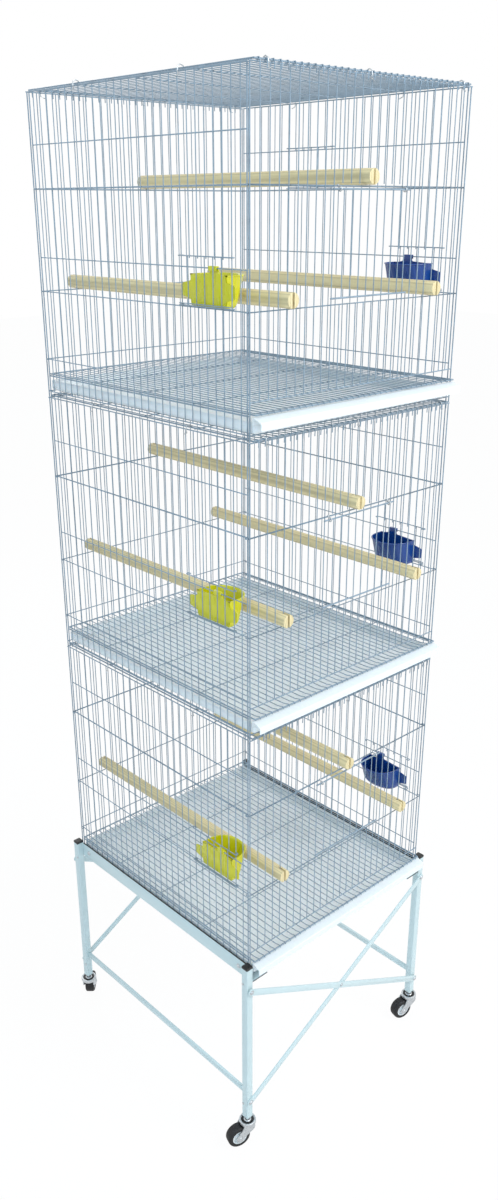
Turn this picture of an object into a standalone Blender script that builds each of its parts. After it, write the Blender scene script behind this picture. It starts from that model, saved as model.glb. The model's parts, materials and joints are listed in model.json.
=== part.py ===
"""Three bird breeding cages stacked on a rolling stand.

Every cage has four wire walls, a wire roof, a sliding floor grille, a sliding
tray, a front door, two feeder doors, three perches and two hook-on cups.
Metres, +Z up, the front of the cages faces -Y, the floor is at Z = 0.
"""
import math

import bmesh
import bpy
from mathutils import Matrix, Vector

# Fits
GAP = 0.0003
SLIDE_GAP = 0.0005

# Cage: distances between the planes of opposite walls, and stacking height
CAGE_WIDTH = 0.416
CAGE_DEPTH = 0.464
CAGE_HEIGHT = 0.430
TIERS = ("bottom", "middle", "top")
FRONT_SPACES = 26
SIDE_SPACES = 29
FLOOR_SPACES = 36

# Wire stock
WIRE_RADIUS = 0.0010
WIRE_SIDES = 3
FRAME_WIRE = 0.0022
RAIL_WIRE = 0.0016
HEAVY_WIRE = 0.0024

# Heights of the level wires above the foot of a cage
BASE_RIM_HEIGHT = 0.008
RUNNER_HEIGHT = 0.0318
SLOT_RAIL_HEIGHT = 0.0495
LOW_RAIL_HEIGHT = 0.0575
PERCH_RAIL_HEIGHT = 0.158
FEEDER_RAIL_HEIGHT = 0.2065
HEAVY_RAIL_HEIGHT = 0.301
NEST_RAIL_HEIGHT = 0.3595
TOP_RIM_DROP = 0.002
SIDE_POST_INSET = 0.0052

# Floor grille, roof and tray
CROSS_WIRE_STEP = 0.118
GRILLE_FRONT_REACH = 0.0085
GRILLE_INSET = 0.0013
ROOF_INSET = 0.0020
TRAY_WALL = 0.0015
TRAY_BACK_INSET = 0.0014
TRAY_FRONT_REACH = 0.0040
TRAY_RIM_HEIGHT = 0.0245
TRAY_FRONT_HEIGHT = 0.0315
LIP_REACH = 0.016
LIP_DROP = 0.0045
LIP_SKIRT = 0.011
LIP_SIDE_INSET = 0.001
LEDGE_DEPTH = 0.0036

# Front door, between two wires of the front wall
DOOR_WIRES = (9, 18)
DOOR_BOTTOM_HEIGHT = 0.1665
DOOR_PIN_DROP = 0.0035
DOOR_END_REACH = 0.0040
EYE_WIRE = 0.0013
EYE_WIDTH = 0.002

# Sliding side doors, between two wires of a side wall
FEEDER_WIRES = (2, 8)
FEEDER_DOOR_TOP = 0.220
NEST_WIRES = (16, 22)
NEST_DOOR_RISE = 0.0625
HOOK_WIRE = 0.0016
HOOK_OFFSET = 0.0014
HOOK_RETURN = 0.0060
SIDE_DOOR_LIFT = 0.043

# Perches
PERCH_RADIUS = 0.010
PERCH_LENGTH = 0.486
PERCH_SIDES = 12
PERCH_WIRE_OFFSET = 9
SAW_SLOT_WIDTH = 0.0036
SAW_SLOT_DEPTH = 0.0135

# Hook-on cups
CUP_HALF_WIDTH = 0.035
CUP_DEPTH = 0.046
CUP_BOTTOM_DEPTH = 0.030
CUP_WALL = 0.0015
CUP_BOTTOM_HEIGHT = 0.1593
CUP_TOP_HEIGHT = 0.1985
CUP_WING_HALF_SPAN = 0.0505
CUP_WING_LOW = 0.168
CUP_WING_HIGH = 0.190
CUP_WING_SLANT = 0.003
CUP_TAB_HALF_WIDTH = 0.008
CUP_TAB_OFFSET = 0.012
CUP_HOOK_DROP = 0.0040
CUP_LIFT = 0.006

# Stand
POST_SIZE = 0.0127
POST_WALL = 0.0012
POST_GAP = 0.0020
POST_Y = 0.2338
POST_TOP = 0.0265
CAP_SIZE = 0.0136
CAP_HEIGHT = 0.0045
POST_BOTTOM_HEIGHT = 0.055
CAGE_BASE_HEIGHT = 0.342
RAIL_GAP = 0.0016
RAIL_TOP = 0.0245
RAIL_THICKNESS = 0.0015
RAIL_END_INSET = 0.0006
RAIL_BOLT_INSET = 0.0195
SHELF_WIDTH = 0.0336
LOW_BAR_HEIGHT = 0.106
LOW_BAR_SIZE = 0.010
LOW_BAR_THICKNESS = 0.005
BRACE_WIDTH = 0.011
BRACE_THICKNESS = 0.002
BRACE_TOP = -0.016
BRACE_FOOT_HEIGHT = 0.091
BRACE_END = 0.006
BOLT_RADIUS = 0.004
BOLT_HEAD = 0.0025

# Casters
WHEEL_RADIUS = 0.020
WHEEL_WIDTH = 0.0176
WHEEL_STEPS = 14
HUB_RADIUS = 0.0125
AXLE_RADIUS = 0.0025
CASTER_TRAIL = 0.018
FORK_TURN = {"front_left": 163.0, "front_right": 167.0, "back_left": 48.0, "back_right": 25.0}
FORK_PLATE_RADIUS = 0.0145
FORK_PLATE_HEIGHT = 0.007
FORK_CHEEK = 0.0018
FORK_CHEEK_REACH = 0.008
FORK_GAP = 0.0005
STEM_SHOW = 0.007
STEM_INSIDE = 0.022

COLORS = {
    "coated_wire": ("E3E7E8", 0.35, 0.0),
    "coated_steel": ("EEF1F1", 0.40, 0.0),
    "white_plastic": ("F1F1EE", 0.45, 0.0),
    "wood": ("E2C68A", 0.65, 0.0),
    "yellow_plastic": ("DAD81C", 0.35, 0.0),
    "blue_plastic": ("0D4C9F", 0.35, 0.0),
    "zinc": ("C6CACC", 0.35, 1.0),
    "black_rubber": ("17171A", 0.70, 0.0),
}

UP = Vector((0.0, 0.0, 1.0))
HALF_WIDTH = CAGE_WIDTH / 2
HALF_DEPTH = CAGE_DEPTH / 2
WIRE_FLAT = WIRE_RADIUS * math.cos(math.pi / WIRE_SIDES)
RAIL_START = WIRE_FLAT + GAP
FRAME_SHIFT = FRAME_WIRE / 6
PIN_REACH = HEAVY_WIRE / math.sqrt(2.0)
DOOR_PLANE = -(WIRE_RADIUS + GAP + PIN_REACH)
POST_X = HALF_WIDTH + POST_GAP + POST_SIZE / 2


def clear_scene():
    for item in list(bpy.data.objects):
        bpy.data.objects.remove(item, do_unlink=True)


def new_collection(name):
    group = bpy.data.collections.new(name)
    bpy.context.scene.collection.children.link(group)
    return group


def linear(channel):
    return channel / 12.92 if channel <= 0.04045 else ((channel + 0.055) / 1.055) ** 2.4


def material(name):
    found = bpy.data.materials.get(name)
    if found:
        return found
    code, roughness, metallic = COLORS[name]
    made = bpy.data.materials.new(name)
    made.use_nodes = True
    shader = made.node_tree.nodes["Principled BSDF"]
    rgb = [linear(int(code[i:i + 2], 16) / 255) for i in (0, 2, 4)]
    shader.inputs["Base Color"].default_value = (*rgb, 1.0)
    shader.inputs["Roughness"].default_value = roughness
    shader.inputs["Metallic"].default_value = metallic
    return made


def add_box(bm, low, high):
    """A box between two opposite corners."""
    low, high = Vector(map(min, low, high)), Vector(map(max, low, high))
    place = Matrix.Translation((low + high) / 2) @ Matrix.Diagonal((*(high - low), 1.0))
    bmesh.ops.create_cube(bm, size=1.0, matrix=place)


def add_bar(bm, start, end, radius, sides, up):
    """A straight bar of regular section, with a corner towards up."""
    start, end = Vector(start), Vector(end)
    along = (end - start).normalized()
    up = Vector(up)
    across = up.cross(along)
    turn = Matrix((across, up, along)).transposed().to_4x4()
    place = Matrix.Translation((start + end) / 2) @ turn
    bmesh.ops.create_cone(bm, cap_ends=True, segments=sides, radius1=radius, radius2=radius,
                          depth=(end - start).length, matrix=place)


def add_outline(bm, points, thickness, centre, x_axis, y_axis):
    """A flat outline, extruded evenly to both sides of its plane."""
    curve = bpy.data.curves.new("outline", "CURVE")
    curve.dimensions = "2D"
    curve.fill_mode = "BOTH"
    curve.extrude = thickness / 2
    line = curve.splines.new("POLY")
    line.points.add(len(points) - 1)
    for point, (x, y) in zip(line.points, points):
        point.co = (x, y, 0.0, 1.0)
    line.use_cyclic_u = True
    holder = bpy.data.objects.new("outline", curve)
    bpy.context.scene.collection.objects.link(holder)
    graph = bpy.context.evaluated_depsgraph_get()
    mesh = bpy.data.meshes.new_from_object(holder.evaluated_get(graph))
    bpy.data.objects.remove(holder)
    x_axis, y_axis = Vector(x_axis), Vector(y_axis)
    turn = Matrix((x_axis, y_axis, x_axis.cross(y_axis))).transposed().to_4x4()
    mesh.transform(Matrix.Translation(centre) @ turn)
    bm.from_mesh(mesh)
    bpy.data.meshes.remove(mesh)
    bmesh.ops.remove_doubles(bm, verts=bm.verts, dist=1e-6)


def new_object(name, build, origin, group):
    """An object from a function that fills a bmesh in world coordinates."""
    bm = bmesh.new()
    build(bm)
    bmesh.ops.recalc_face_normals(bm, faces=bm.faces)
    bmesh.ops.translate(bm, vec=-Vector(origin), verts=bm.verts)
    mesh = bpy.data.meshes.new(name)
    bm.to_mesh(mesh)
    bm.free()
    made = bpy.data.objects.new(name, mesh)
    group.objects.link(made)
    return made


def solid(name, look, build, origin=(0.0, 0.0, 0.0)):
    made = new_object(name, build, origin, PARTS)
    made.location = origin
    made.data.materials.append(material(look))
    return made


def merge(target, label, build, operation="UNION"):
    """Joins a shape to an object, or cuts it out, with a Boolean."""
    tool = new_object(f"{target.name}_{label}", build, target.location, TOOLS)
    tool.parent = target
    tool.hide_render = True
    tool.display_type = "WIRE"
    step = target.modifiers.new(label, "BOOLEAN")
    step.operation = operation
    step.solver = "EXACT"
    step.object = tool
    return tool


def smooth(target, angle=40.0):
    target.data.shade_smooth()
    target.data.set_sharp_from_angle(angle=math.radians(angle))


class Wall:
    """Local places on a cage wall: u along it, w inward from the wire plane, z up."""

    def __init__(self, side, base):
        directions = {
            "front": ((1, 0, 0), (0, 1, 0), HALF_DEPTH),
            "back": ((1, 0, 0), (0, -1, 0), HALF_DEPTH),
            "left": ((0, 1, 0), (1, 0, 0), HALF_WIDTH),
            "right": ((0, 1, 0), (-1, 0, 0), HALF_WIDTH),
        }
        along, inward, distance = directions[side]
        self.side = side
        self.base = base
        self.along = Vector(along)
        self.inward = Vector(inward)
        self.distance = distance
        self.broad = side in ("front", "back")
        self.spaces = FRONT_SPACES if self.broad else SIDE_SPACES
        self.half = HALF_WIDTH if self.broad else HALF_DEPTH
        self.post = self.half if self.broad else self.half - SIDE_POST_INSET
        self.pitch = 2 * self.half / self.spaces

    def at(self, u, w, z):
        return self.along * u + self.inward * (w - self.distance) + UP * (self.base + z)

    def box(self, bm, u, w, z):
        add_box(bm, self.at(u[0], w[0], z[0]), self.at(u[1], w[1], z[1]))

    def level(self, bm, u, w, z, size):
        """A level wire of square section, from u[0] to u[1], starting at depth w."""
        self.box(bm, u, (w, w + size), (z - size / 2, z + size / 2))

    def upright(self, bm, u, low, high, w=0.0):
        add_bar(bm, self.at(u, w, low), self.at(u, w, high), WIRE_RADIUS, WIRE_SIDES, -self.inward)

    def column(self, index):
        return self.pitch * index - self.half


def top_rim_height():
    return CAGE_HEIGHT - TOP_RIM_DROP


def wall_frame(bm, wall):
    """The two thick end wires of a wall, which are also its feet."""
    reach = FRAME_WIRE / 2
    for u in (-wall.post, wall.post):
        wall.box(bm, (u - reach, u + reach), (FRAME_SHIFT - reach, FRAME_SHIFT + reach),
                 (-TOP_RIM_DROP + FRAME_WIRE / 2 + GAP, top_rim_height()))


def wall_rails(bm, wall, heights):
    """Rails on the inner side of the wires, from end wire to end wire."""
    for z, size in heights:
        wall.level(bm, (-wall.post, wall.post), RAIL_START, z, size)


def make_wall(tier, side, base, rails, bottom, gaps):
    """A wire wall. gaps holds (first wire, last wire, low end, high end) of each doorway."""
    wall = Wall(side, base)
    reach = FRAME_WIRE / 2
    edge = wall.post + reach + 0.0004 if wall.broad else wall.post + reach - 0.0004
    rim = top_rim_height()
    made = solid(f"{tier}_wall_{side}", "coated_wire",
                 lambda bm: wall.box(bm, (-edge, edge), (-reach, reach), (rim - reach, rim + reach)))
    merge(made, "frame", lambda bm: wall_frame(bm, wall))

    def low_and_rails(bm):
        wall_rails(bm, wall, rails)
        for z in bottom:
            depth = LEDGE_DEPTH if side == "back" else reach
            wall.box(bm, (-wall.post, wall.post), (-reach, depth), (z - reach, z + reach))

    merge(made, "rails", low_and_rails)
    foot = bottom[-1]

    def wires(bm):
        for index in range(1, wall.spaces):
            stops = [foot]
            for first, last, low, high in gaps:
                if first < index < last:
                    stops += [low, high]
            stops.append(rim)
            for low, high in zip(stops[::2], stops[1::2]):
                wall.upright(bm, wall.column(index), low, high)

    merge(made, "wires", wires)
    return made, wall


def door_pin_height():
    return HEAVY_RAIL_HEIGHT - DOOR_PIN_DROP


def add_door_eyes(made, wall):
    """Two eyes on the heavy rail, which hold the pin at the top of the front door."""
    pin = door_pin_height()
    clear = PIN_REACH + GAP
    left, right = DOOR_PLANE - clear, DOOR_PLANE + clear
    low, high = pin - clear, pin + clear
    size = EYE_WIRE
    points = [(RAIL_START + size, high), (RAIL_START + size, high + size), (left - size, high + size),
              (left - size, low - size), (right + size * 0.2, low - size), (right + size * 0.2, low),
              (left, low), (left, high)]

    def eyes(bm):
        first, last = DOOR_WIRES
        for index in (first, last - 1):
            u = wall.column(index) + wall.pitch / 2
            centre = wall.at(u, 0.0, 0.0)
            add_outline(bm, points, EYE_WIDTH, centre, wall.inward, UP)

    merge(made, "eyes", eyes)


def make_walls(tier, base):
    heavy = (HEAVY_RAIL_HEIGHT, HEAVY_WIRE)
    perch = (PERCH_RAIL_HEIGHT, RAIL_WIRE)
    runner = (RUNNER_HEIGHT, HEAVY_WIRE)
    level = [(LOW_RAIL_HEIGHT, RAIL_WIRE), perch, (FEEDER_RAIL_HEIGHT, RAIL_WIRE), heavy,
             (NEST_RAIL_HEIGHT, RAIL_WIRE)]
    doorway = (*DOOR_WIRES, PERCH_RAIL_HEIGHT + RAIL_WIRE / 2, HEAVY_RAIL_HEIGHT + HEAVY_WIRE * 1.5)
    bottom = [BASE_RIM_HEIGHT, SLOT_RAIL_HEIGHT]
    front, wall = make_wall(tier, "front", base, [perch, heavy], bottom, [doorway])
    add_door_eyes(front, wall)
    make_wall(tier, "back", base, [(LOW_RAIL_HEIGHT, RAIL_WIRE), perch, heavy], [BASE_RIM_HEIGHT], [])
    feeder = (*FEEDER_WIRES, PERCH_RAIL_HEIGHT + RAIL_WIRE / 2,
              FEEDER_RAIL_HEIGHT + RAIL_WIRE / 2 + CUP_WALL + GAP * 2 + CUP_LIFT)
    nest = (*NEST_WIRES, HEAVY_RAIL_HEIGHT + HEAVY_WIRE / 2, NEST_RAIL_HEIGHT + RAIL_WIRE / 2)
    for side in ("left", "right"):
        gaps = [feeder, nest] if (tier, side) == ("top", "right") else [feeder]
        make_wall(tier, side, base, [runner] + level, [BASE_RIM_HEIGHT], gaps)


def make_deck(name, height, half_width, front, back, base):
    """Wires along Y between two end rails, with side wires and cross wires below."""
    reach = HEAVY_WIRE / 2
    z = base + height
    cross_top = z - WIRE_FLAT - GAP
    made = solid(name, "coated_wire", lambda bm: add_box(
        bm, (-half_width, front - reach, z - reach), (half_width, front + reach, z + reach)))

    def side_wires(bm):
        for sign in (-1, 1):
            outer = sign * (half_width - 0.0002)
            inner = sign * (half_width - HEAVY_WIRE)
            add_box(bm, (outer, front, z - reach), (inner, back, z + reach - 0.0002))

    def cross_wires(bm):
        add_box(bm, (-half_width, back - reach, z - reach), (half_width, back + reach, z + reach))
        for step in (-1, 0, 1):
            y = step * CROSS_WIRE_STEP
            add_box(bm, (-half_width + reach, y - RAIL_WIRE / 2, cross_top - RAIL_WIRE),
                    (half_width - reach, y + RAIL_WIRE / 2, cross_top))

    def long_wires(bm):
        pitch = CAGE_WIDTH / FLOOR_SPACES
        for index in range(1, FLOOR_SPACES):
            x = pitch * index - HALF_WIDTH
            if abs(x) < half_width - HEAVY_WIRE - WIRE_RADIUS:
                add_bar(bm, (x, front, z), (x, back, z), WIRE_RADIUS, WIRE_SIDES, UP)

    merge(made, "sides", side_wires)
    merge(made, "cross", cross_wires)
    merge(made, "wires", long_wires)
    return made


def runner_reach():
    """How far the floor runners stand in from the plane of the side wall."""
    return RAIL_START + HEAVY_WIRE


def make_grille(tier, base):
    height = RUNNER_HEIGHT + HEAVY_WIRE + GAP
    half_width = HALF_WIDTH - FRAME_SHIFT - FRAME_WIRE / 2 - SLIDE_GAP - SLIDE_GAP / 2
    front = -HALF_DEPTH - GRILLE_FRONT_REACH + HEAVY_WIRE / 2
    back = HALF_DEPTH - RAIL_START - HEAVY_WIRE - GRILLE_INSET + HEAVY_WIRE / 2
    return make_deck(f"{tier}_grille", height, half_width, front, back, base)


def make_roof(tier, base):
    height = top_rim_height() + FRAME_WIRE / 2 + GAP + HEAVY_WIRE / 2
    half_width = HALF_WIDTH - FRAME_WIRE / 2 - ROOF_INSET
    return make_deck(f"{tier}_roof", height, half_width, -HALF_DEPTH - 0.001, HALF_DEPTH + 0.001, base)


def tray_floor_height():
    return BASE_RIM_HEIGHT + FRAME_WIRE / 2 + GAP


def make_tray(tier, base):
    half_width = HALF_WIDTH - runner_reach() - SLIDE_GAP * 1.6
    front = -HALF_DEPTH - TRAY_FRONT_REACH
    back = HALF_DEPTH - TRAY_BACK_INSET

    def pan(bm):
        floor, rim = base + tray_floor_height(), base + TRAY_RIM_HEIGHT
        add_box(bm, (-half_width, front, floor), (half_width, back, rim))
        top = max(bm.faces, key=lambda face: face.calc_center_median().z)
        bmesh.ops.delete(bm, geom=[top], context="FACES_ONLY")

    made = solid(f"{tier}_tray", "white_plastic", pan)
    shell = made.modifiers.new("wall", "SOLIDIFY")
    shell.thickness = TRAY_WALL
    shell.offset = -1.0
    sheet = TRAY_WALL
    foot = base + TRAY_RIM_HEIGHT - 2 * sheet
    top = base + TRAY_FRONT_HEIGHT
    inner, outer = front + sheet * 0.6, front - sheet * 0.4
    edge = front - LIP_REACH
    points = [(inner, foot), (inner, top), (outer - sheet, top), (edge, top - LIP_DROP),
              (edge, top - LIP_DROP - LIP_SKIRT), (edge + sheet, top - LIP_DROP - LIP_SKIRT),
              (edge + sheet, top - LIP_DROP - sheet * 0.7), (outer - sheet * 0.7, top - sheet),
              (outer, top - sheet), (outer, foot)]
    width = 2 * (HALF_WIDTH - LIP_SIDE_INSET)
    merge(made, "lip", lambda bm: add_outline(bm, points, width, (0, 0, 0), (0, 1, 0), UP))
    return made


def make_front_door(tier, base):
    """Hangs from its top wire, which turns in the two eyes of the wall."""
    wall = Wall("front", base)
    pin = door_pin_height()
    half = HEAVY_WIRE / 2
    first, last = DOOR_WIRES
    left = wall.column(first) - DOOR_END_REACH
    right = wall.column(last) + DOOR_END_REACH
    start = DOOR_PLANE - half
    axis = wall.at((left + right) / 2, DOOR_PLANE, pin)
    made = solid(f"{tier}_door", "coated_wire",
                 lambda bm: wall.level(bm, (left, right), start, pin, HEAVY_WIRE), axis)

    def wires(bm):
        for index in range(first + 1, last):
            wall.upright(bm, wall.column(index), DOOR_BOTTOM_HEIGHT, pin, DOOR_PLANE)

    merge(made, "bottom", lambda bm: add_box(
        bm, wall.at(wall.column(first + 1) + half, start, DOOR_BOTTOM_HEIGHT + half),
        wall.at(wall.column(first + 1) - half, start + HEAVY_WIRE, pin)))
    merge(made, "rail", lambda bm: wall.level(bm, (left, right), start, DOOR_BOTTOM_HEIGHT, HEAVY_WIRE))
    merge(made, "wires", wires)
    return made


def make_side_door(name, side, base, wires, sill, top, sill_size):
    """A lift-up door that hooks round the two wires beside its opening."""
    wall = Wall(side, base)
    first, last = wires
    half = HEAVY_WIRE / 2
    low, high = wall.column(first), wall.column(last)
    bottom = sill + sill_size / 2 + GAP + HOOK_WIRE / 2
    start = DOOR_PLANE - half
    out = WIRE_RADIUS + HOOK_OFFSET + HOOK_WIRE
    made = solid(name, "coated_wire", lambda bm: wall.level(
        bm, (low - out + 0.0004, high + out - 0.0004), start, bottom + (half - HOOK_WIRE / 2), HEAVY_WIRE))

    def uprights(bm):
        for index in range(first + 1, last):
            wall.upright(bm, wall.column(index), bottom, top, DOOR_PLANE)

    def top_rail(bm):
        wall.level(bm, (low - out + 0.0004, high + out - 0.0004), start, top, HEAVY_WIRE)

    def hooks(bm):
        deep = WIRE_FLAT + GAP + HOOK_WIRE
        for u, sign in ((low, -1), (high, 1)):
            tip = u + sign * (out - HOOK_RETURN)
            points = [(u + sign * out, DOOR_PLANE), (u + sign * out, deep), (tip, deep),
                      (tip, deep - HOOK_WIRE * 0.8), (u + sign * (out - HOOK_WIRE), deep - HOOK_WIRE * 0.8),
                      (u + sign * (out - HOOK_WIRE), DOOR_PLANE)]
            for z in (bottom, top):
                add_outline(bm, points, HOOK_WIRE, wall.at(0.0, 0.0, z), wall.along, wall.inward)

    merge(made, "uprights", uprights)
    merge(made, "top", top_rail)
    merge(made, "hooks", hooks)
    return made


def make_doors(tier, base):
    make_front_door(tier, base)
    for side in ("left", "right"):
        make_side_door(f"{tier}_feeder_door_{side}", side, base, FEEDER_WIRES,
                       PERCH_RAIL_HEIGHT, FEEDER_DOOR_TOP, RAIL_WIRE)
    if tier == "top":
        make_side_door("top_nest_door", "right", base, NEST_WIRES,
                       HEAVY_RAIL_HEIGHT, HEAVY_RAIL_HEIGHT + NEST_DOOR_RISE, HEAVY_WIRE)


def make_perch(name, base, x, rail_height, rail_size):
    z = base + rail_height + rail_size / 2 + GAP + PERCH_RADIUS
    half = PERCH_LENGTH / 2
    axis = Vector((x, 0.0, z))
    made = solid(name, "wood", lambda bm: add_bar(
        bm, (x, -half, z), (x, half, z), PERCH_RADIUS / math.cos(math.pi / PERCH_SIDES), PERCH_SIDES,
        (math.sin(math.pi / PERCH_SIDES), 0.0, math.cos(math.pi / PERCH_SIDES))), axis)

    def saw_slots(bm):
        side = SAW_SLOT_WIDTH / 2
        for sign in (-1, 1):
            add_box(bm, (x - side, sign * (half - SAW_SLOT_DEPTH), z - 2 * PERCH_RADIUS),
                    (x + side, sign * (half + 0.002), z + 2 * PERCH_RADIUS))

    merge(made, "slots", saw_slots, "DIFFERENCE")
    smooth(made)
    return made


def make_perches(tier, base):
    pitch = CAGE_WIDTH / FRONT_SPACES
    offset = pitch * PERCH_WIRE_OFFSET
    make_perch(f"{tier}_perch_high", base, 0.0, HEAVY_RAIL_HEIGHT, HEAVY_WIRE)
    make_perch(f"{tier}_perch_left", base, -offset, PERCH_RAIL_HEIGHT, RAIL_WIRE)
    make_perch(f"{tier}_perch_right", base, offset, PERCH_RAIL_HEIGHT, RAIL_WIRE)


def cup_outline(depth, count=8):
    """Points of a flat-backed rounded cup rim, as (u, w) from the middle of its back."""
    points = []
    for step in range(count):
        angle = math.pi * step / (count - 1)
        bulge = max(math.sin(angle), 0.0) ** 0.6
        points.append((CUP_HALF_WIDTH * math.cos(angle), depth * bulge))
    return points


def make_cup(name, look, side, base):
    """An open cup on a winged back plate, hung by a hook over the feeder rail."""
    wall = Wall(side, base)
    middle = sum(wall.column(index) for index in FEEDER_WIRES) / 2
    plate = RAIL_START + RAIL_WIRE + GAP
    back = plate + CUP_WALL * 0.6

    def bowl(bm):
        rings = []
        for depth, z in ((CUP_BOTTOM_DEPTH, CUP_BOTTOM_HEIGHT), (CUP_DEPTH, CUP_TOP_HEIGHT)):
            rings.append([bm.verts.new(wall.at(middle + u, back + w, z)) for u, w in cup_outline(depth)])
        low, high = rings
        bm.faces.new(low)
        for index in range(len(low)):
            after = (index + 1) % len(low)
            bm.faces.new((low[index], low[after], high[after], high[index]))
        bmesh.ops.recalc_face_normals(bm, faces=bm.faces)

    made = solid(name, look, bowl)
    shell = made.modifiers.new("wall", "SOLIDIFY")
    shell.thickness = CUP_WALL
    shell.offset = -1.0
    shell.use_even_offset = True
    rail_top = FEEDER_RAIL_HEIGHT + RAIL_WIRE / 2
    hook_under = rail_top + GAP
    wing, body = CUP_WING_HALF_SPAN, CUP_HALF_WIDTH * 0.94
    tab = CUP_TAB_OFFSET * (-1 if side == "left" else 1)
    tab_low, tab_high = tab - CUP_TAB_HALF_WIDTH, tab + CUP_TAB_HALF_WIDTH
    low, high = CUP_BOTTOM_HEIGHT + 0.0007, CUP_TOP_HEIGHT - 0.0005
    tall = hook_under + CUP_WALL * 0.7
    slant = CUP_WING_SLANT
    edge = [(body, low), (body, CUP_WING_LOW), (wing, CUP_WING_LOW + slant),
            (wing, CUP_WING_HIGH - slant), (body, CUP_WING_HIGH), (body, high)]
    hanger = [(tab_high, high + slant / 2), (tab_high, tall), (tab_low, tall), (tab_low, high + slant / 2)]
    points = edge + hanger + [(-u, z) for u, z in reversed(edge)]
    centre = wall.at(middle, plate + CUP_WALL / 2, 0.0)
    merge(made, "plate", lambda bm: add_outline(bm, points, CUP_WALL, centre, wall.along, UP))
    lip = WIRE_FLAT - CUP_WALL * 0.8
    hook = [(plate + CUP_WALL * 0.7, hook_under), (plate + CUP_WALL * 0.7, hook_under + CUP_WALL),
            (lip, hook_under + CUP_WALL), (lip, rail_top - CUP_HOOK_DROP),
            (RAIL_START - GAP, rail_top - CUP_HOOK_DROP), (RAIL_START - GAP, hook_under)]
    merge(made, "hook", lambda bm: add_outline(
        bm, hook, 2 * CUP_TAB_HALF_WIDTH - 0.001, wall.at(middle + tab, 0.0, 0.0), wall.inward, UP))
    return made


def make_cage(tier, base):
    make_walls(tier, base)
    make_roof(tier, base)
    make_grille(tier, base)
    make_tray(tier, base)
    make_doors(tier, base)
    make_perches(tier, base)
    make_cup(f"{tier}_cup_yellow", "yellow_plastic", "left", base)
    make_cup(f"{tier}_cup_blue", "blue_plastic", "right", base)


def shelf_top():
    """The feet of the lowest cage stand on this level."""
    return CAGE_BASE_HEIGHT - TOP_RIM_DROP + FRAME_WIRE / 2


def make_stand_side(name, sign):
    """Two posts with caps, an angle rail that carries the cages, and a low bar."""
    base = CAGE_BASE_HEIGHT
    half = POST_SIZE / 2
    inner_y = POST_Y - half
    reach = POST_Y + half - RAIL_END_INSET
    near = HALF_WIDTH + RAIL_GAP
    plate = near + RAIL_THICKNESS
    foot = shelf_top() - RAIL_THICKNESS
    made = solid(name, "coated_steel", lambda bm: add_box(
        bm, (sign * near, -reach, foot), (sign * plate, reach, base + RAIL_TOP)))

    def posts(bm):
        for y in (-POST_Y, POST_Y):
            add_box(bm, (sign * (POST_X - half), y - half, POST_BOTTOM_HEIGHT),
                    (sign * (POST_X + half), y + half, base + POST_TOP))

    def shelf_and_bar(bm):
        add_box(bm, (sign * (plate - SHELF_WIDTH), -reach, foot),
                (sign * (plate - RAIL_THICKNESS / 2), reach, shelf_top()))
        mid = POST_X - half + LOW_BAR_THICKNESS
        low = LOW_BAR_HEIGHT - LOW_BAR_SIZE / 2
        add_box(bm, (sign * (mid - LOW_BAR_THICKNESS / 2), -inner_y - 0.001, low),
                (sign * (mid + LOW_BAR_THICKNESS / 2), inner_y + 0.001, low + LOW_BAR_SIZE))

    def caps(bm):
        side = CAP_SIZE / 2
        for y in (-POST_Y, POST_Y):
            add_box(bm, (sign * (POST_X - side), y - side, base + POST_TOP - 0.001),
                    (sign * (POST_X + side), y + side, base + POST_TOP - 0.001 + CAP_HEIGHT))

    def bolts(bm):
        for y in (RAIL_BOLT_INSET - inner_y, inner_y - RAIL_BOLT_INSET):
            z = (foot + base + RAIL_TOP) / 2
            add_bar(bm, (sign * (plate - RAIL_THICKNESS / 2), y, z), (sign * (plate + BOLT_HEAD), y, z),
                    BOLT_RADIUS, 8, UP)

    def bores(bm):
        side = half - POST_WALL
        for y in (-POST_Y, POST_Y):
            add_box(bm, (sign * (POST_X - side), y - side, POST_BOTTOM_HEIGHT - 0.01),
                    (sign * (POST_X + side), y + side, base + POST_TOP - 0.002))

    merge(made, "posts", posts)
    merge(made, "shelf", shelf_and_bar)
    merge(made, "bores", bores, "DIFFERENCE")
    merge(made, "caps", caps)
    merge(made, "bolts", bolts)
    return made


def make_brace(name, facing, rise, layer):
    """A flat diagonal bar across the front or back of the stand, with its two bolts."""
    top = CAGE_BASE_HEIGHT + BRACE_TOP
    foot = BRACE_FOOT_HEIGHT
    reach = POST_X
    angle = math.atan2(top - foot, 2 * reach) * rise
    length = math.hypot(top - foot, 2 * reach) / 2 + BRACE_END
    middle = (top + foot) / 2
    face = POST_Y + POST_SIZE / 2 + GAP
    near = face + layer * (BRACE_THICKNESS + GAP)
    centre = Vector((0.0, facing * (near + BRACE_THICKNESS / 2), middle))

    def bar(bm):
        size = Matrix.Diagonal((2 * length, BRACE_THICKNESS, BRACE_WIDTH, 1.0))
        turn = Matrix.Rotation(-angle, 4, "Y")
        bmesh.ops.create_cube(bm, size=1.0, matrix=Matrix.Translation(centre) @ turn @ size)

    def bolts(bm):
        for sign in (-1, 1):
            z = middle + sign * rise * (top - foot) / 2
            start = face if layer else near + BRACE_THICKNESS / 2
            add_bar(bm, (sign * reach, facing * start, z),
                    (sign * reach, facing * (near + BRACE_THICKNESS + BOLT_HEAD), z), BOLT_RADIUS, 8, UP)

    made = solid(name, "coated_steel", bar, centre)
    merge(made, "bolts", bolts)
    return made


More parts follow.
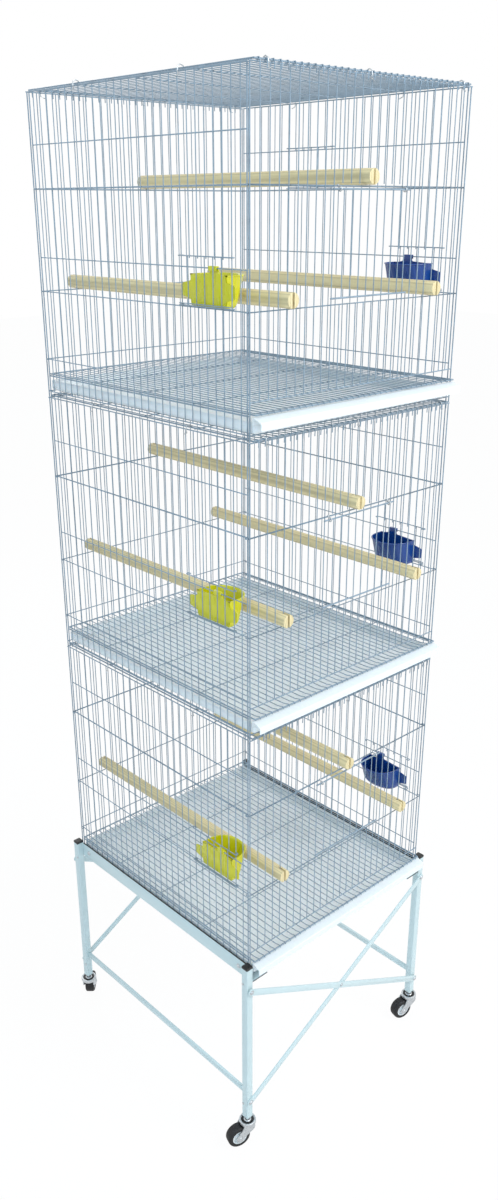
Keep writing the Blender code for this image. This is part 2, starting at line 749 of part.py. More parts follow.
def make_caster(corner, x, y):
    """A stem caster: the fork swivels under the post and the wheel turns in the fork."""
    turn = math.radians(FORK_TURN[corner])
    trail = Vector((math.cos(turn), math.sin(turn), 0.0))
    side = Vector((-trail.y, trail.x, 0.0))
    axle = Vector((x, y, WHEEL_RADIUS)) + trail * CASTER_TRAIL
    top = POST_BOTTOM_HEIGHT - STEM_SHOW
    plate = top - FORK_PLATE_HEIGHT
    stem = POST_SIZE / 2 - POST_WALL - GAP
    inner = WHEEL_WIDTH / 2 + FORK_GAP
    pivot = Vector((x, y, top))

    fork = solid(f"caster_fork_{corner}", "zinc", lambda bm: add_bar(
        bm, (x, y, plate), (x, y, top), FORK_PLATE_RADIUS, 10, (1, 0, 0)), pivot)

    def cheeks(bm):
        reach = FORK_CHEEK_REACH
        low, high = CASTER_TRAIL - reach, CASTER_TRAIL + reach
        shoulder = math.sqrt(FORK_PLATE_RADIUS ** 2 - (inner + FORK_CHEEK) ** 2)
        foot = WHEEL_RADIUS - reach
        outline = [(-shoulder, plate + 0.003), (shoulder, plate + 0.003),
                   (shoulder + reach / 2, plate - reach / 2), (high, WHEEL_RADIUS + reach / 4),
                   (high - reach * 0.3, foot + reach * 0.3), (CASTER_TRAIL, foot),
                   (low + reach * 0.3, foot + reach * 0.3), (low, WHEEL_RADIUS), (-shoulder, plate - reach)]
        for sign in (-1, 1):
            centre = Vector((x, y, 0.0)) + side * sign * (inner + FORK_CHEEK / 2)
            add_outline(bm, outline, FORK_CHEEK, centre, trail, UP)

    def stem_and_axle(bm):
        high = POST_BOTTOM_HEIGHT + STEM_INSIDE
        add_bar(bm, (x, y, top - FORK_PLATE_HEIGHT / 2), (x, y, high), stem, 8, (1, 0, 0))
        end = side * (inner + FORK_CHEEK + 0.001)
        add_bar(bm, axle - end, axle + end, AXLE_RADIUS, 8, UP)

    merge(fork, "cheeks", cheeks)
    merge(fork, "stem", stem_and_axle)

    wheel = bpy.data.objects.new(f"caster_wheel_{corner}", bpy.data.meshes.new(f"caster_wheel_{corner}"))
    half = WHEEL_WIDTH / 2
    bore = AXLE_RADIUS + GAP
    tread = WHEEL_RADIUS / math.cos(math.pi / WHEEL_STEPS)
    profile = [(bore, half - 0.001), (HUB_RADIUS, half - 0.001), (tread - 0.002, half),
               (tread, half - 0.0035), (tread, -half + 0.0035),
               (tread - 0.002, -half), (HUB_RADIUS, -half + 0.001), (bore, -half + 0.001)]
    edges = [(index, (index + 1) % len(profile)) for index in range(len(profile))]
    wheel.data.from_pydata([(r, 0.0, z) for r, z in profile], edges, [])
    spin = wheel.modifiers.new("turned", "SCREW")
    spin.axis = "Z"
    spin.steps = WHEEL_STEPS
    spin.render_steps = WHEEL_STEPS
    spin.use_merge_vertices = True
    spin.merge_threshold = 1e-5
    start = Matrix.Rotation(-math.pi / WHEEL_STEPS, 3, side) @ -UP
    place = Matrix((start, side.cross(start), side)).transposed().to_4x4()
    wheel.matrix_world = Matrix.Translation(axle) @ place
    wheel.data.materials.append(material("black_rubber"))
    PARTS.objects.link(wheel)
    return fork, wheel


def make_stand():
    make_stand_side("stand_side_left", -1)
    make_stand_side("stand_side_right", 1)
    for side, facing in (("front", -1), ("back", 1)):
        make_brace(f"brace_{side}_rising", facing, 1, 0)
        make_brace(f"brace_{side}_falling", facing, -1, 1)
    for corner in FORK_TURN:
        x = POST_X if corner.endswith("right") else -POST_X
        y = POST_Y if corner.startswith("back") else -POST_Y
        make_caster(corner, x, y)


clear_scene()
PARTS = new_collection("breeding_cage")
TOOLS = new_collection("breeding_cage_tools")
make_stand()
for level, tier in enumerate(TIERS):
    make_cage(tier, CAGE_BASE_HEIGHT + level * CAGE_HEIGHT)
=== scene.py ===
"""Finished look of a rolling rack of three wire breeding cages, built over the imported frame."""
import json
import math

import bmesh
import bpy
from bpy.props import FloatProperty, FloatVectorProperty, IntProperty, PointerProperty
from bpy.types import Operator, Panel, PropertyGroup
from mathutils import Matrix, Vector


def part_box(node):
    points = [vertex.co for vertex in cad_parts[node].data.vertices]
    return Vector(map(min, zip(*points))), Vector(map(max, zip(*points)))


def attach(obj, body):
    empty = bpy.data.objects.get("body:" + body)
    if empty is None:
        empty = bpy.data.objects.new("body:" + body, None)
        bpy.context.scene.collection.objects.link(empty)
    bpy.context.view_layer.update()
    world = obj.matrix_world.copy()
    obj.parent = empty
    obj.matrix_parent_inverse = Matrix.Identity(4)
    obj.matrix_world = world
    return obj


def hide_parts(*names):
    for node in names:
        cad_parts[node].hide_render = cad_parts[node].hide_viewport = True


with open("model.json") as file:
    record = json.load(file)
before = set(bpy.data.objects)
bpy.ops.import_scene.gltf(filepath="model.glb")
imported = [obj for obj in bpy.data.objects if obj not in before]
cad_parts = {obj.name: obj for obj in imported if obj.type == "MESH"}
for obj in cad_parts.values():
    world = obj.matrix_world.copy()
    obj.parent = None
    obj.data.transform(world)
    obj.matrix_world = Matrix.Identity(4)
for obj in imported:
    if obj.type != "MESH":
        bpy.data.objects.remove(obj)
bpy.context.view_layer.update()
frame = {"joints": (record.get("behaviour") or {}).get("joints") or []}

bl_info = {
    "name": "Breeding Cage Rack",
    "version": (1, 0, 0),
    "blender": (4, 5, 0),
    "location": "View3D > Sidebar > Cage Rack",
    "description": "Builds the finished surfaces of a rolling rack of three wire breeding cages",
    "category": "Object",
}

TIERS = ("bottom", "middle", "top")
UP = Vector((0.0, 0.0, 1.0))

# Cages: half their width and depth over the wires, and how far a side wall ends before the corner
HALF_WIDTH, HALF_DEPTH, SIDE_WALL_INSET = 0.208, 0.232, 0.0052

# Roofs and grilles: radii of the frame's end and side wires and of the cross wires, and where those cross
FIELD_END_WIRE, FIELD_SIDE_WIRE, FIELD_CROSS_WIRE, FIELD_CROSS_PLACE = 0.0012, 0.0011, 0.0007, 0.118

# Trays: width, height, thickness, and the width and reach of the lip
TRAY_WIDTH, TRAY_HEIGHT, TRAY_WALL, TRAY_LIP_WIDTH, TRAY_LIP_REACH = 0.408, 0.0151, 0.0015, 0.414, 0.016

# Cups: height of the rim, half width, place of the back, reach from it at the foot and at the rim, thickness,
# and fineness
CUP_RIM, CUP_HALF, CUP_BACK, CUP_FOOT_REACH, CUP_RIM_REACH = 0.1985, 0.0350, 0.0036, 0.030, 0.046
CUP_WALL, CUP_RINGS, CUP_POINTS = 0.0015, 12, 96

# Posts of the stand: places of their axes, half their width, thickness, half a cap's width
POST_X, POST_Y, POST_HALF, POST_WALL, CAP_HALF = 0.21635, 0.2338, 0.00635, 0.0012, 0.0068

# Angle rails: inner and outer face of the upright leg, inner edge of the shelf, all from the middle
RAIL_NEAR, RAIL_FAR, SHELF_EDGE = 0.2096, 0.2111, 0.1775

# Outer edge of the shelf, places of the rails' bolts, and the low bars' inner and outer face, foot and top
SHELF_ROOT, RAIL_BOLT_Y = 0.2104, 0.20795
BAR_NEAR, BAR_FAR, BAR_FOOT, BAR_TOP = 0.2125, 0.2175, 0.101, 0.111

# Braces: heights of their upper and lower bolts, half their width, thickness
BRACE_TOP, BRACE_FOOT, BRACE_HALF, BRACE_THICKNESS = 0.326, 0.091, 0.0055, 0.002

# Level wires above the foot of a cage: height, radius
BASE_RIM = (0.008, 0.0009)
RUNNER = (0.0318, 0.0011)
SLOT_RAIL = (0.0495, 0.0009)
LOW_RAIL = (0.0575, 0.0008)
PERCH_RAIL = (0.158, 0.0008)
FEEDER_RAIL = (0.2065, 0.0008)
HEAVY_RAIL = (0.301, 0.0011)
NEST_RAIL = (0.3595, 0.0008)
TOP_RIM = (0.428, 0.0009)
DOOR_PIN = 0.2975
DOOR_FOOT = 0.1665

# Doors hang this far outside the walls
DOOR_PLANE = -0.0030

# Wires of a wall, counted along it, on either side of each doorway
FEEDER_WIRES = (2, 8)
NEST_WIRES = (16, 22)
DOOR_WIRES = (9, 18)


def linear(code):
    """Turns an sRGB hex colour into linear red, green and blue."""
    channels = [int(code[i:i + 2], 16) / 255 for i in (0, 2, 4)]
    return [c / 12.92 if c <= 0.04045 else ((c + 0.055) / 1.055) ** 2.4 for c in channels]


def colour_setting(name, code, about):
    return FloatVectorProperty(name=name, description=about, subtype="COLOR", size=3, min=0.0, max=1.0,
                               default=linear(code))


def count_setting(name, value, about):
    return IntProperty(name=name, description=about, default=value, min=2)


def length_setting(name, value, about):
    return FloatProperty(name=name, description=about, subtype="DISTANCE", unit="LENGTH", default=value,
                         min=0.0001, precision=4)


class CageWireSettings(PropertyGroup):
    """Wire stock and spacing of the cages."""

    wire: length_setting("Wire", 0.0014, "Diameter of the upright wires")
    front_spaces: count_setting("Front spaces", 26, "Gaps between wires across the front")
    side_spaces: count_setting("Side spaces", 29, "Gaps between wires along a side")
    floor_spaces: count_setting("Floor spaces", 36, "Gaps between wires across the floor")
    colour: colour_setting("Wire colour", "8699A8", "Coating of the cage wires")


class CageFittingSettings(PropertyGroup):
    """Trays, perches and cups."""

    tray: colour_setting("Tray", "EEF1F2", "Moulded tray")
    perch: colour_setting("Perch", "E8D5A6", "Bare perch wood")
    left_cup: colour_setting("Left cup", "D6D00E", "Moulded cup on the left")
    right_cup: colour_setting("Right cup", "0A418C", "Moulded cup on the right")
    perch_diameter: length_setting("Perch diameter", 0.020, "Diameter of the perches")
    rib_depth: length_setting("Rib depth", 0.0007, "Depth of the ribs on the cups")


class RackStandSettings(PropertyGroup):
    """Steel stand, its bolts and its casters."""

    coat: colour_setting("Coating", "CDDEE0", "Powder coat of the stand")
    # The caps' black also paints shade: strips along the stand's rails and rings in the casters' swivel
    # grooves.
    caps_and_shade: colour_setting("Caps", "141516", "Plugs on top of the posts")
    tyre: colour_setting("Tyres", "0B0B0E", "Caster wheels")
    bolt_radius: length_setting("Bolt head radius", 0.004, "Radius of a bolt head")
    wheel_radius: length_setting("Wheel radius", 0.020, "Radius of a caster wheel")


class StudioSettings(PropertyGroup):
    """Floor and light."""

    floor: colour_setting("Floor", "FFFFFF", "Floor and backdrop")
    daylight: FloatProperty(name="Daylight", description="Strength of the soft light from all round",
                            default=0.70, min=0.0)


def wires():
    return bpy.context.scene.cage_rack_wires


def fittings():
    return bpy.context.scene.cage_rack_fittings


def stand():
    return bpy.context.scene.cage_rack_stand


def studio():
    return bpy.context.scene.cage_rack_studio


# Materials

def add_node(tree, kind, inputs=None, **values):
    """Adds a node, sets its properties and inputs, and links inputs given as sockets."""
    node = tree.nodes.new(kind)
    for key, value in values.items():
        setattr(node, key, value)
    for key, value in (inputs or {}).items():
        socket = node.inputs[key]
        if isinstance(value, bpy.types.NodeSocket):
            tree.links.new(value, socket)
        else:
            socket.default_value = value
    return node


def surface(name, colour, **finish):
    """A material with a Principled shader. Returns the material, its tree and its shader."""
    made = bpy.data.materials.new(name)
    made.use_nodes = True
    tree = made.node_tree
    shader = tree.nodes["Principled BSDF"]
    shader.inputs["Base Color"].default_value = (*colour, 1.0)
    for key, value in finish.items():
        shader.inputs[key.replace("_", " ").title().replace("Ior", "IOR")].default_value = value
    return made, tree, shader


def millimetres(tree, x=1.0, y=1.0, z=1.0):
    """Object coordinates in millimetres, stretched by the factors given."""
    place = add_node(tree, "ShaderNodeTexCoord")
    scaled = add_node(tree, "ShaderNodeMapping", {"Vector": place.outputs["Object"],
                                                  "Scale": (1000 * x, 1000 * y, 1000 * z)})
    return scaled.outputs["Vector"]


def grain(tree, vector, size_mm, detail=3.0, roughness=0.5):
    """Noise whose lumps are size_mm across."""
    return add_node(tree, "ShaderNodeTexNoise", {"Vector": vector, "Scale": 1.0 / size_mm, "Detail": detail,
                                                 "Roughness": roughness}).outputs["Fac"]


def ramp(tree, fac, stops):
    node = add_node(tree, "ShaderNodeValToRGB", {"Fac": fac})
    marks = node.color_ramp.elements
    while len(marks) < len(stops):
        marks.new(0.5)
    for mark, (place, colour) in zip(marks, stops):
        mark.position = place
        mark.color = (*colour, 1.0)
    return node.outputs["Color"]


def shade(colour, factor):
    return [min(c * factor, 1.0) for c in colour]


def bump(tree, shader, height, distance_mm, strength=0.5):
    relief = add_node(tree, "ShaderNodeBump", {"Height": height, "Strength": strength,
                                               "Distance": distance_mm / 1000})
    tree.links.new(relief.outputs["Normal"], shader.inputs["Normal"])


def roughness_between(tree, shader, fac, low, high):
    span = add_node(tree, "ShaderNodeMapRange", {"Value": fac, "From Min": 0.3, "From Max": 0.7,
                                                 "To Min": low, "To Max": high})
    tree.links.new(span.outputs["Result"], shader.inputs["Roughness"])


def toned(tree, shader, pattern, colour, tones, low, high):
    """Shades the colour along a pattern by (place, factor) tones, and lets the roughness follow it."""
    tone = ramp(tree, pattern, [(place, shade(colour, factor)) for place, factor in tones])
    tree.links.new(tone, shader.inputs["Base Color"])
    roughness_between(tree, shader, pattern, low, high)


def patterned(name, colour, marks, tones, gloss, relief=None, stretch=(1.0, 1.0, 1.0), **finish):
    """A material with one noise pattern, whose size in mm, detail and roughness marks gives.

    tones and gloss go to toned. relief holds a bump's grain in mm, or None for the pattern, its depth in
    mm and its strength.
    """
    made, tree, shader = surface(name, colour, **finish)
    pattern = grain(tree, millimetres(tree, *stretch), *marks)
    toned(tree, shader, pattern, colour, tones, *gloss)
    if relief:
        size, depth, strength = relief
        bump(tree, shader, grain(tree, millimetres(tree), size) if size else pattern, depth, strength)
    return made


def coated_wire_material():
    """Drawn steel wire, dipped in epoxy: a thin gloss skin, a little paler and darker along each wire."""
    # Real orange peel is about 0.5 mm; drawn at 2 mm, because 0.5 mm doesn't show.
    return patterned("epoxy_dipped_wire", wires().colour, (18.0, 2.0),
                     ((0.25, 0.80), (0.5, 1.0), (0.75, 1.16)), (0.26, 0.40), (2.0, 0.05, 0.4),
                     ior=1.5, coat_weight=0.25, coat_roughness=0.15)


def powder_coat_material():
    """Steel tube and angle, powder coated white: faint orange peel, edges a touch worn and greyer."""
    colour = stand().coat
    made, tree, shader = surface("white_powder_coat", colour, ior=1.5, coat_weight=0.15, coat_roughness=0.3)
    clouds = grain(tree, millimetres(tree), 60.0, 4.0)
    tone = ramp(tree, clouds, ((0.3, shade(colour, 0.96)), (0.65, colour)))
    worn = add_node(tree, "ShaderNodeNewGeometry").outputs["Pointiness"]
    edge = ramp(tree, worn, ((0.52, (0.0, 0.0, 0.0)), (0.60, (0.25, 0.25, 0.25))))
    mixed = add_node(tree, "ShaderNodeMix", data_type="RGBA")
    tree.links.new(edge, mixed.inputs[0])
    tree.links.new(tone, mixed.inputs[6])
    mixed.inputs[7].default_value = (*shade(colour, 0.8), 1.0)
    tree.links.new(mixed.outputs[2], shader.inputs["Base Color"])
    roughness_between(tree, shader, clouds, 0.32, 0.46)
    # Orange peel of a powder coat: lumps about 1.5 mm across.
    bump(tree, shader, grain(tree, millimetres(tree), 1.5), 0.05, 0.15)
    return made


def tray_material():
    """Polypropylene, injection moulded: waxy white with soft scuffs along the sliding direction."""
    # Mould texture, really 0.2 mm, drawn at 1.2 mm.
    return patterned("moulded_polypropylene", fittings().tray, (2.5, 5.0, 0.6), ((0.25, 0.94), (0.6, 1.0)),
                     (0.34, 0.52), (1.2, 0.05, 0.25), (1.0, 0.08, 1.0), ior=1.49, subsurface_weight=0.04)


def perch_material():
    """Turned pine dowel, bare: long growth lines, fine pores and a slightly furry, matt surface."""
    colour = fittings().perch
    made, tree, shader = surface("turned_pine", colour, ior=1.46)
    lines = add_node(tree, "ShaderNodeTexWave", {"Vector": millimetres(tree, 1.0, 0.02, 1.0), "Scale": 0.09,
                                                 "Distortion": 3.5, "Detail": 3.0, "Detail Scale": 1.2},
                     wave_type="BANDS", bands_direction="X")
    pores = grain(tree, millimetres(tree, 1.0, 0.03, 1.0), 0.9, 4.0, 0.6)
    both = add_node(tree, "ShaderNodeMix", {0: 0.45, 2: lines.outputs["Fac"], 3: pores},
                    data_type="FLOAT").outputs[0]
    toned(tree, shader, both, colour, ((0.15, 0.72), (0.45, 0.95), (0.8, 1.07)), 0.60, 0.75)
    bump(tree, shader, both, 0.12, 0.4)
    return made


def cup_material(name, colour):
    """Polystyrene, injection moulded: deep clean colour, glossy, with faint flow marks."""
    return patterned(name, colour, (9.0, 2.0), ((0.3, 0.90), (0.7, 1.05)), (0.22, 0.36), (None, 0.05, 0.2),
                     (1.0, 1.0, 0.3), ior=1.55, coat_weight=0.2, coat_roughness=0.1)


def zinc_material():
    """Pressed steel, zinc plated: bright cool metal with a spangled, slightly rough skin."""
    made, tree, shader = surface("zinc_plated_steel", linear("D2D7DA"), metallic=1.0)
    spangle = add_node(tree, "ShaderNodeTexVoronoi", {"Vector": millimetres(tree), "Scale": 0.5},
                       feature="F1")
    facets = spangle.outputs["Distance"]
    tone = ramp(tree, facets, ((0.0, linear("DDE1E3")), (0.9, linear("B4BABF"))))
    tree.links.new(tone, shader.inputs["Base Color"])
    roughness_between(tree, shader, facets, 0.34, 0.52)
    bump(tree, shader, grain(tree, millimetres(tree), 0.8), 0.03, 0.3)
    return made


def rubber_material():
    """Thermoplastic rubber tread: near black, matt, dusted paler where it has rolled."""
    return patterned("moulded_rubber", stand().tyre, (3.0, 5.0, 0.65), ((0.35, 1.0), (0.75, 1.7)),
                     (0.52, 0.72), (0.9, 0.06, 0.35), ior=1.52)


def caps_and_shade_material():
    """Polyethylene plug, moulded: black, satin. The same black also serves as painted shade: strips along the
    stand's rails and a ring in each caster's swivel groove.
    """
    return patterned("black_polyethylene_and_painted_shade", stand().caps_and_shade, (1.4, 3.0), ((0.3, 0.8), (0.7, 1.6)), (0.36, 0.50),
                     (None, 0.04, 0.3), ior=1.51)


def hub_material():
    """Nylon wheel centre, moulded: off-white, slightly waxy."""
    return patterned("moulded_nylon", linear("E4E6E6"), (4.0, 2.0), ((0.3, 0.92), (0.7, 1.0)), (0.38, 0.52),
                     ior=1.53, subsurface_weight=0.03)


MATERIALS = {}


def finish_of(name):
    """A finish by its everyday name, made when it is first asked for."""
    makers = {"wire": coated_wire_material, "coat": powder_coat_material, "tray": tray_material,
              "perch": perch_material, "zinc": zinc_material, "rubber": rubber_material,
              "caps_and_shade": caps_and_shade_material, "hub": hub_material,
              "yellow": lambda: cup_material("yellow_polystyrene", fittings().left_cup),
              "blue": lambda: cup_material("blue_polystyrene", fittings().right_cup)}
    if name not in MATERIALS:
        MATERIALS[name] = makers[name]()
    return MATERIALS[name]


# Shapes

def add_object(name, data):
    """A new object in the scene."""
    made = bpy.data.objects.new(name, data)
    bpy.context.scene.collection.objects.link(made)
    return made


def settle(piece, look, body, replaced):
    """Gives a piece its finish and body, and hides the node it stands for, if any."""
    piece.data.materials.append(finish_of(look))
    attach(piece, body)
    if replaced:
        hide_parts(replaced)
    return piece


def bent_wires(name, runs, replaced=None, body="rack", look="wire"):
    """One object of round wires. runs holds (points, radius) of each."""
    curve = bpy.data.curves.new(name, "CURVE")
    curve.dimensions = "3D"
    curve.bevel_depth = 0.001
    curve.bevel_resolution = 2
    curve.use_fill_caps = True
    for points, radius in runs:
        line = curve.splines.new("POLY")
        line.points.add(len(points) - 1)
        for point, place in zip(line.points, points):
            point.co = (*place, 1.0)
            point.radius = radius / 0.001
        line.use_smooth = True
    return settle(add_object(name, curve), look, body, replaced)


def mesh_piece(name, bm, look, replaced=None, body="rack", sharp=35.0):
    mesh = bpy.data.meshes.new(name)
    bmesh.ops.recalc_face_normals(bm, faces=bm.faces)
    bm.to_mesh(mesh)
    bm.free()
    mesh.shade_smooth()
    mesh.set_sharp_from_angle(angle=math.radians(sharp))
    return settle(add_object(name, mesh), look, body, replaced)


def soft_box(bm, low, high, radius, steps=2, place=Matrix()):
    """A box with rounded edges."""
    low, high = Vector(map(min, low, high)), Vector(map(max, low, high))
    size = high - low
    shape = Matrix.Translation((low + high) / 2) @ Matrix.Diagonal((*size, 1.0))
    made = bmesh.ops.create_cube(bm, size=1.0, matrix=shape)
    edges = {edge for vertex in made["verts"] for edge in vertex.link_edges}
    result = bmesh.ops.bevel(bm, geom=list(edges), offset=min(radius, 0.45 * min(size)), segments=steps,
                             profile=0.5, affect="EDGES")
    vertices = {vertex for face in result["faces"] for vertex in face.verts}
    bmesh.ops.transform(bm, matrix=place, verts=list(vertices))


def bridge(bm, rings):
    """Faces between each ring of points and the next. A ring may be a single point."""
    for low, high in zip(rings, rings[1:]):
        count = max(len(low), len(high))
        for k in range(count):
            after = (k + 1) % count
            corners = [low[k % len(low)], low[after % len(low)], high[after % len(high)], high[k % len(high)]]
            corners = list(dict.fromkeys(corners))
            if len(corners) > 2:
                bm.faces.new(corners)


def turned(bm, profile, place, steps=40):
    """A solid of revolution round local Z. profile holds (radius, height) from one end to the other."""
    rings = []
    for radius, height in profile:
        if radius < 1e-6:
            rings.append([bm.verts.new(place @ Vector((0.0, 0.0, height)))])
            continue
        rings.append([bm.verts.new(place @ Vector((radius * math.cos(2 * math.pi * k / steps),
                                                   radius * math.sin(2 * math.pi * k / steps), height)))
                      for k in range(steps)])
    bridge(bm, rings)


def plate(bm, outline, thickness, place, rounding=0.0):
    """A flat outline in local XY, given thickness to both sides, with eased edges."""
    low = [bm.verts.new(place @ Vector((x, y, -thickness / 2))) for x, y in outline]
    high = [bm.verts.new(place @ Vector((x, y, thickness / 2))) for x, y in outline]
    under, over = bm.faces.new(low), bm.faces.new(high)
    bridge(bm, (low, high))
    if rounding:
        bmesh.ops.bevel(bm, geom=list(under.edges) + list(over.edges), offset=rounding, segments=2,
                        profile=0.5, affect="EDGES")


def rounded(outline, radius, steps=3):
    """An outline with its corners rounded."""
    smooth = []
    count = len(outline)
    for k in range(count):
        before, here, after = (Vector(outline[(k + j) % count]) for j in (-1, 0, 1))
        inward, outward = before - here, after - here
        reach = min(radius, 0.45 * inward.length, 0.45 * outward.length)
        start, end = here + inward.normalized() * reach, here + outward.normalized() * reach
        for step in range(steps + 1):
            t = step / steps
            smooth.append(tuple((1 - t) ** 2 * start + 2 * t * (1 - t) * here + t * t * end))
    return smooth


def bolt_head(bm, place, radius, height, washer=0.0006):
    """A domed bolt head on its washer, on local +Z."""
    dome = [(0.0, height)]
    for step in range(1, 6):
        angle = math.pi / 2 * step / 5
        dome.append((radius * 0.82 * math.sin(angle), washer + (height - washer) * math.cos(angle)))
    rim = [(radius * 0.86, washer), (radius * 1.02, washer * 0.9), (radius * 1.05, washer * 0.4),
           (radius * 1.03, 0.0), (0.0, 0.0)]
    turned(bm, dome + rim, place, 24)


def placed(origin, x, y, z=None):
    """A place whose local axes point along x, y and z, or along x, y and their cross product."""
    return Matrix.Translation(origin) @ Matrix((x, y, z or x.cross(y))).transposed().to_4x4()


def turn_to(axis, centre):
    """A place whose local Z points along axis."""
    return Matrix.Translation(centre) @ Vector(axis).to_track_quat("Z", "Y").to_matrix().to_4x4()


# Cages

class CageWall:
    """Places on a wall: u along it, w inward from the plane of its wires, z above the cage's foot."""

    def __init__(self, tier, side):
        low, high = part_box(f"{tier}_wall_{side}")
        self.base = low.z + 0.0006
        self.side = side
        self.wide = side in ("front", "back")
        self.spaces = wires().front_spaces if self.wide else wires().side_spaces
        self.distance = HALF_DEPTH if self.wide else HALF_WIDTH
        self.half = HALF_WIDTH if self.wide else HALF_DEPTH
        self.post = self.half if self.wide else self.half - SIDE_WALL_INSET
        self.pitch = 2 * self.half / self.spaces
        inward = {"front": (0, 1, 0), "back": (0, -1, 0), "left": (1, 0, 0), "right": (-1, 0, 0)}[side]
        self.inward = Vector(inward)
        self.along = Vector((1, 0, 0)) if self.wide else Vector((0, 1, 0))

    def at(self, u, w, z):
        return self.along * u + self.inward * (w - self.distance) + UP * (self.base + z)

    def level(self, start, end, w, z):
        return [self.at(start, w, z), self.at(end, w, z)]

    def upright(self, u, w, low, high):
        return [self.at(u, w, low), self.at(u, w, high)]

    def column(self, index):
        return self.pitch * index - self.half


def doorways(tier, side):
    """(first wire, last wire, low end, high end) of the openings in a wall."""
    if side == "front":
        return [(*DOOR_WIRES, PERCH_RAIL[0], HEAVY_RAIL[0] + 0.003)]
    if side == "back":
        return []
    found = [(*FEEDER_WIRES, PERCH_RAIL[0], FEEDER_RAIL[0] + 0.0105)]
    if (tier, side) == ("top", "right"):
        found.append((*NEST_WIRES, HEAVY_RAIL[0], NEST_RAIL[0]))
    return found


def wall_levels(side):
    """(in the plane of the uprights, on their inner side) level wires of a wall."""
    if side == "front":
        return [BASE_RIM, SLOT_RAIL], [PERCH_RAIL, HEAVY_RAIL]
    if side == "back":
        return [BASE_RIM], [LOW_RAIL, PERCH_RAIL, HEAVY_RAIL]
    return [BASE_RIM], [RUNNER, LOW_RAIL, PERCH_RAIL, FEEDER_RAIL, HEAVY_RAIL, NEST_RAIL]


def upright_runs(wall, tier):
    radius = wires().wire / 2
    foot = SLOT_RAIL[0] if wall.side == "front" else BASE_RIM[0]
    runs = []
    for index in range(1, wall.spaces):
        stops = [foot]
        for first, last, low, high in doorways(tier, wall.side):
            if first < index < last:
                stops += [low, high]
        stops.append(TOP_RIM[0])
        for low, high in zip(stops[::2], stops[1::2]):
            u = wall.column(index)
            runs.append((wall.upright(u, 0.0, low, high), radius))
    return runs


def level_runs(wall):
    radius = wires().wire / 2
    flush, inner = wall_levels(wall.side)
    runs = []
    end = wall.post
    for z, size in flush:
        runs.append((wall.level(-end, end, 0.0, z), size))
    for z, size in inner:
        w = radius + size
        middle = wall.level(-end, end, w, z)
        if wall.wide:
            runs.append((hook_round(wall, -1, w, z) + middle + hook_round(wall, 1, w, z)[::-1], size))
        else:
            runs.append((middle, size))
    rim = wall.post + (0.0015 if wall.wide else 0.0007)
    runs.append((wall.level(-rim, rim, 0.0, TOP_RIM[0]), TOP_RIM[1]))
    for u in (-end, end):
        runs.append((wall.upright(u, 0.0004, -0.0006, TOP_RIM[0]), TOP_RIM[1]))
    return runs


# End of a front or back rail, hooked round the side wall's end wire, as (out, inward)
RAIL_HOOK = ((-0.0014, 0.0062), (0.0, 0.0050), (0.0004, 0.0030), (-0.0004, 0.0010), (-0.0024, 0.0))


def hook_round(wall, sign, w, z):
    out = wall.post + 0.0022
    return [wall.at(sign * (out + u), w + deep, z) for u, deep in RAIL_HOOK]


def weld_spots(bm, wall, tier):
    """Small flattened lumps where a level wire crosses the uprights."""
    radius = wires().wire / 2
    for z, _ in wall_levels(wall.side)[1]:
        for index in range(1, wall.spaces):
            u = wall.column(index)
            if any(first < index < last and low < z < high
                   for first, last, low, high in doorways(tier, wall.side)):
                continue
            place = Matrix.Translation(wall.at(u, radius, z)) @ Matrix.Diagonal((0.0011, 0.0011, 0.0010, 1.0))
            bmesh.ops.create_icosphere(bm, subdivisions=1, radius=1.0, matrix=place)


class CAGERACK_OT_walls(Operator):
    """Round welded wires of the four walls of each cage"""

    bl_idname = "cage_rack.walls"
    bl_label = "Cage Walls"

    def execute(self, context):
        for tier in TIERS:
            make_walls(tier)
        return {"FINISHED"}


def make_walls(tier):
    spots = bmesh.new()
    for side in ("front", "back", "left", "right"):
        wall = CageWall(tier, side)
        runs = upright_runs(wall, tier) + level_runs(wall)
        bent_wires(f"{tier}_{side}_wires", runs, f"{tier}_wall_{side}")
        weld_spots(spots, wall, tier)
    mesh_piece(f"{tier}_weld_spots", spots, "wire", sharp=80.0)


def long_wire_places(half_width):
    spaces = wires().floor_spaces
    pitch = 2 * HALF_WIDTH / spaces
    places = [pitch * index - HALF_WIDTH for index in range(1, spaces)]
    return [x for x in places if abs(x) < half_width - 0.0043]


# Ends of the close wires of a roof and a grille, as (distance in from the end wire, rise)
ROOF_END = ((-0.0028, -0.0088), (-0.0032, -0.0016), (-0.0016, 0.0014), (0.003, 0.0012), (0.02, 0.0))
GRILLE_FRONT_END = ((-0.0022, -0.0010), (-0.0018, 0.0012), (0.0, 0.0021), (0.0035, 0.0012), (0.010, 0.0))
GRILLE_BACK_END = ((0.0, 0.0),)


def close_wires(node, front_end, back_end):
    """Runs of close wires from front to back in a thicker frame, with three thin wires across under them."""
    low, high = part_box(node)
    radius = wires().wire / 2
    z = high.z - FIELD_END_WIRE
    front, back, side = low.y + FIELD_END_WIRE, high.y - FIELD_END_WIRE, high.x - FIELD_END_WIRE
    runs = [([Vector((-side, y, z)), Vector((side, y, z))], FIELD_END_WIRE) for y in (front, back)]
    runs += [([Vector((x, front, z)), Vector((x, back, z))], FIELD_SIDE_WIRE) for x in (-side, side)]
    for x in long_wire_places(high.x):
        points = [Vector((x, front + u, z + rise)) for u, rise in front_end]
        points += [Vector((x, back - u, z + rise)) for u, rise in reversed(back_end)]
        runs.append((points, radius))
    under = z - 2 * radius
    for y in (-FIELD_CROSS_PLACE, 0.0, FIELD_CROSS_PLACE):
        runs.append(([Vector((-side, y, under)), Vector((side, y, under))], FIELD_CROSS_WIRE))
    return runs


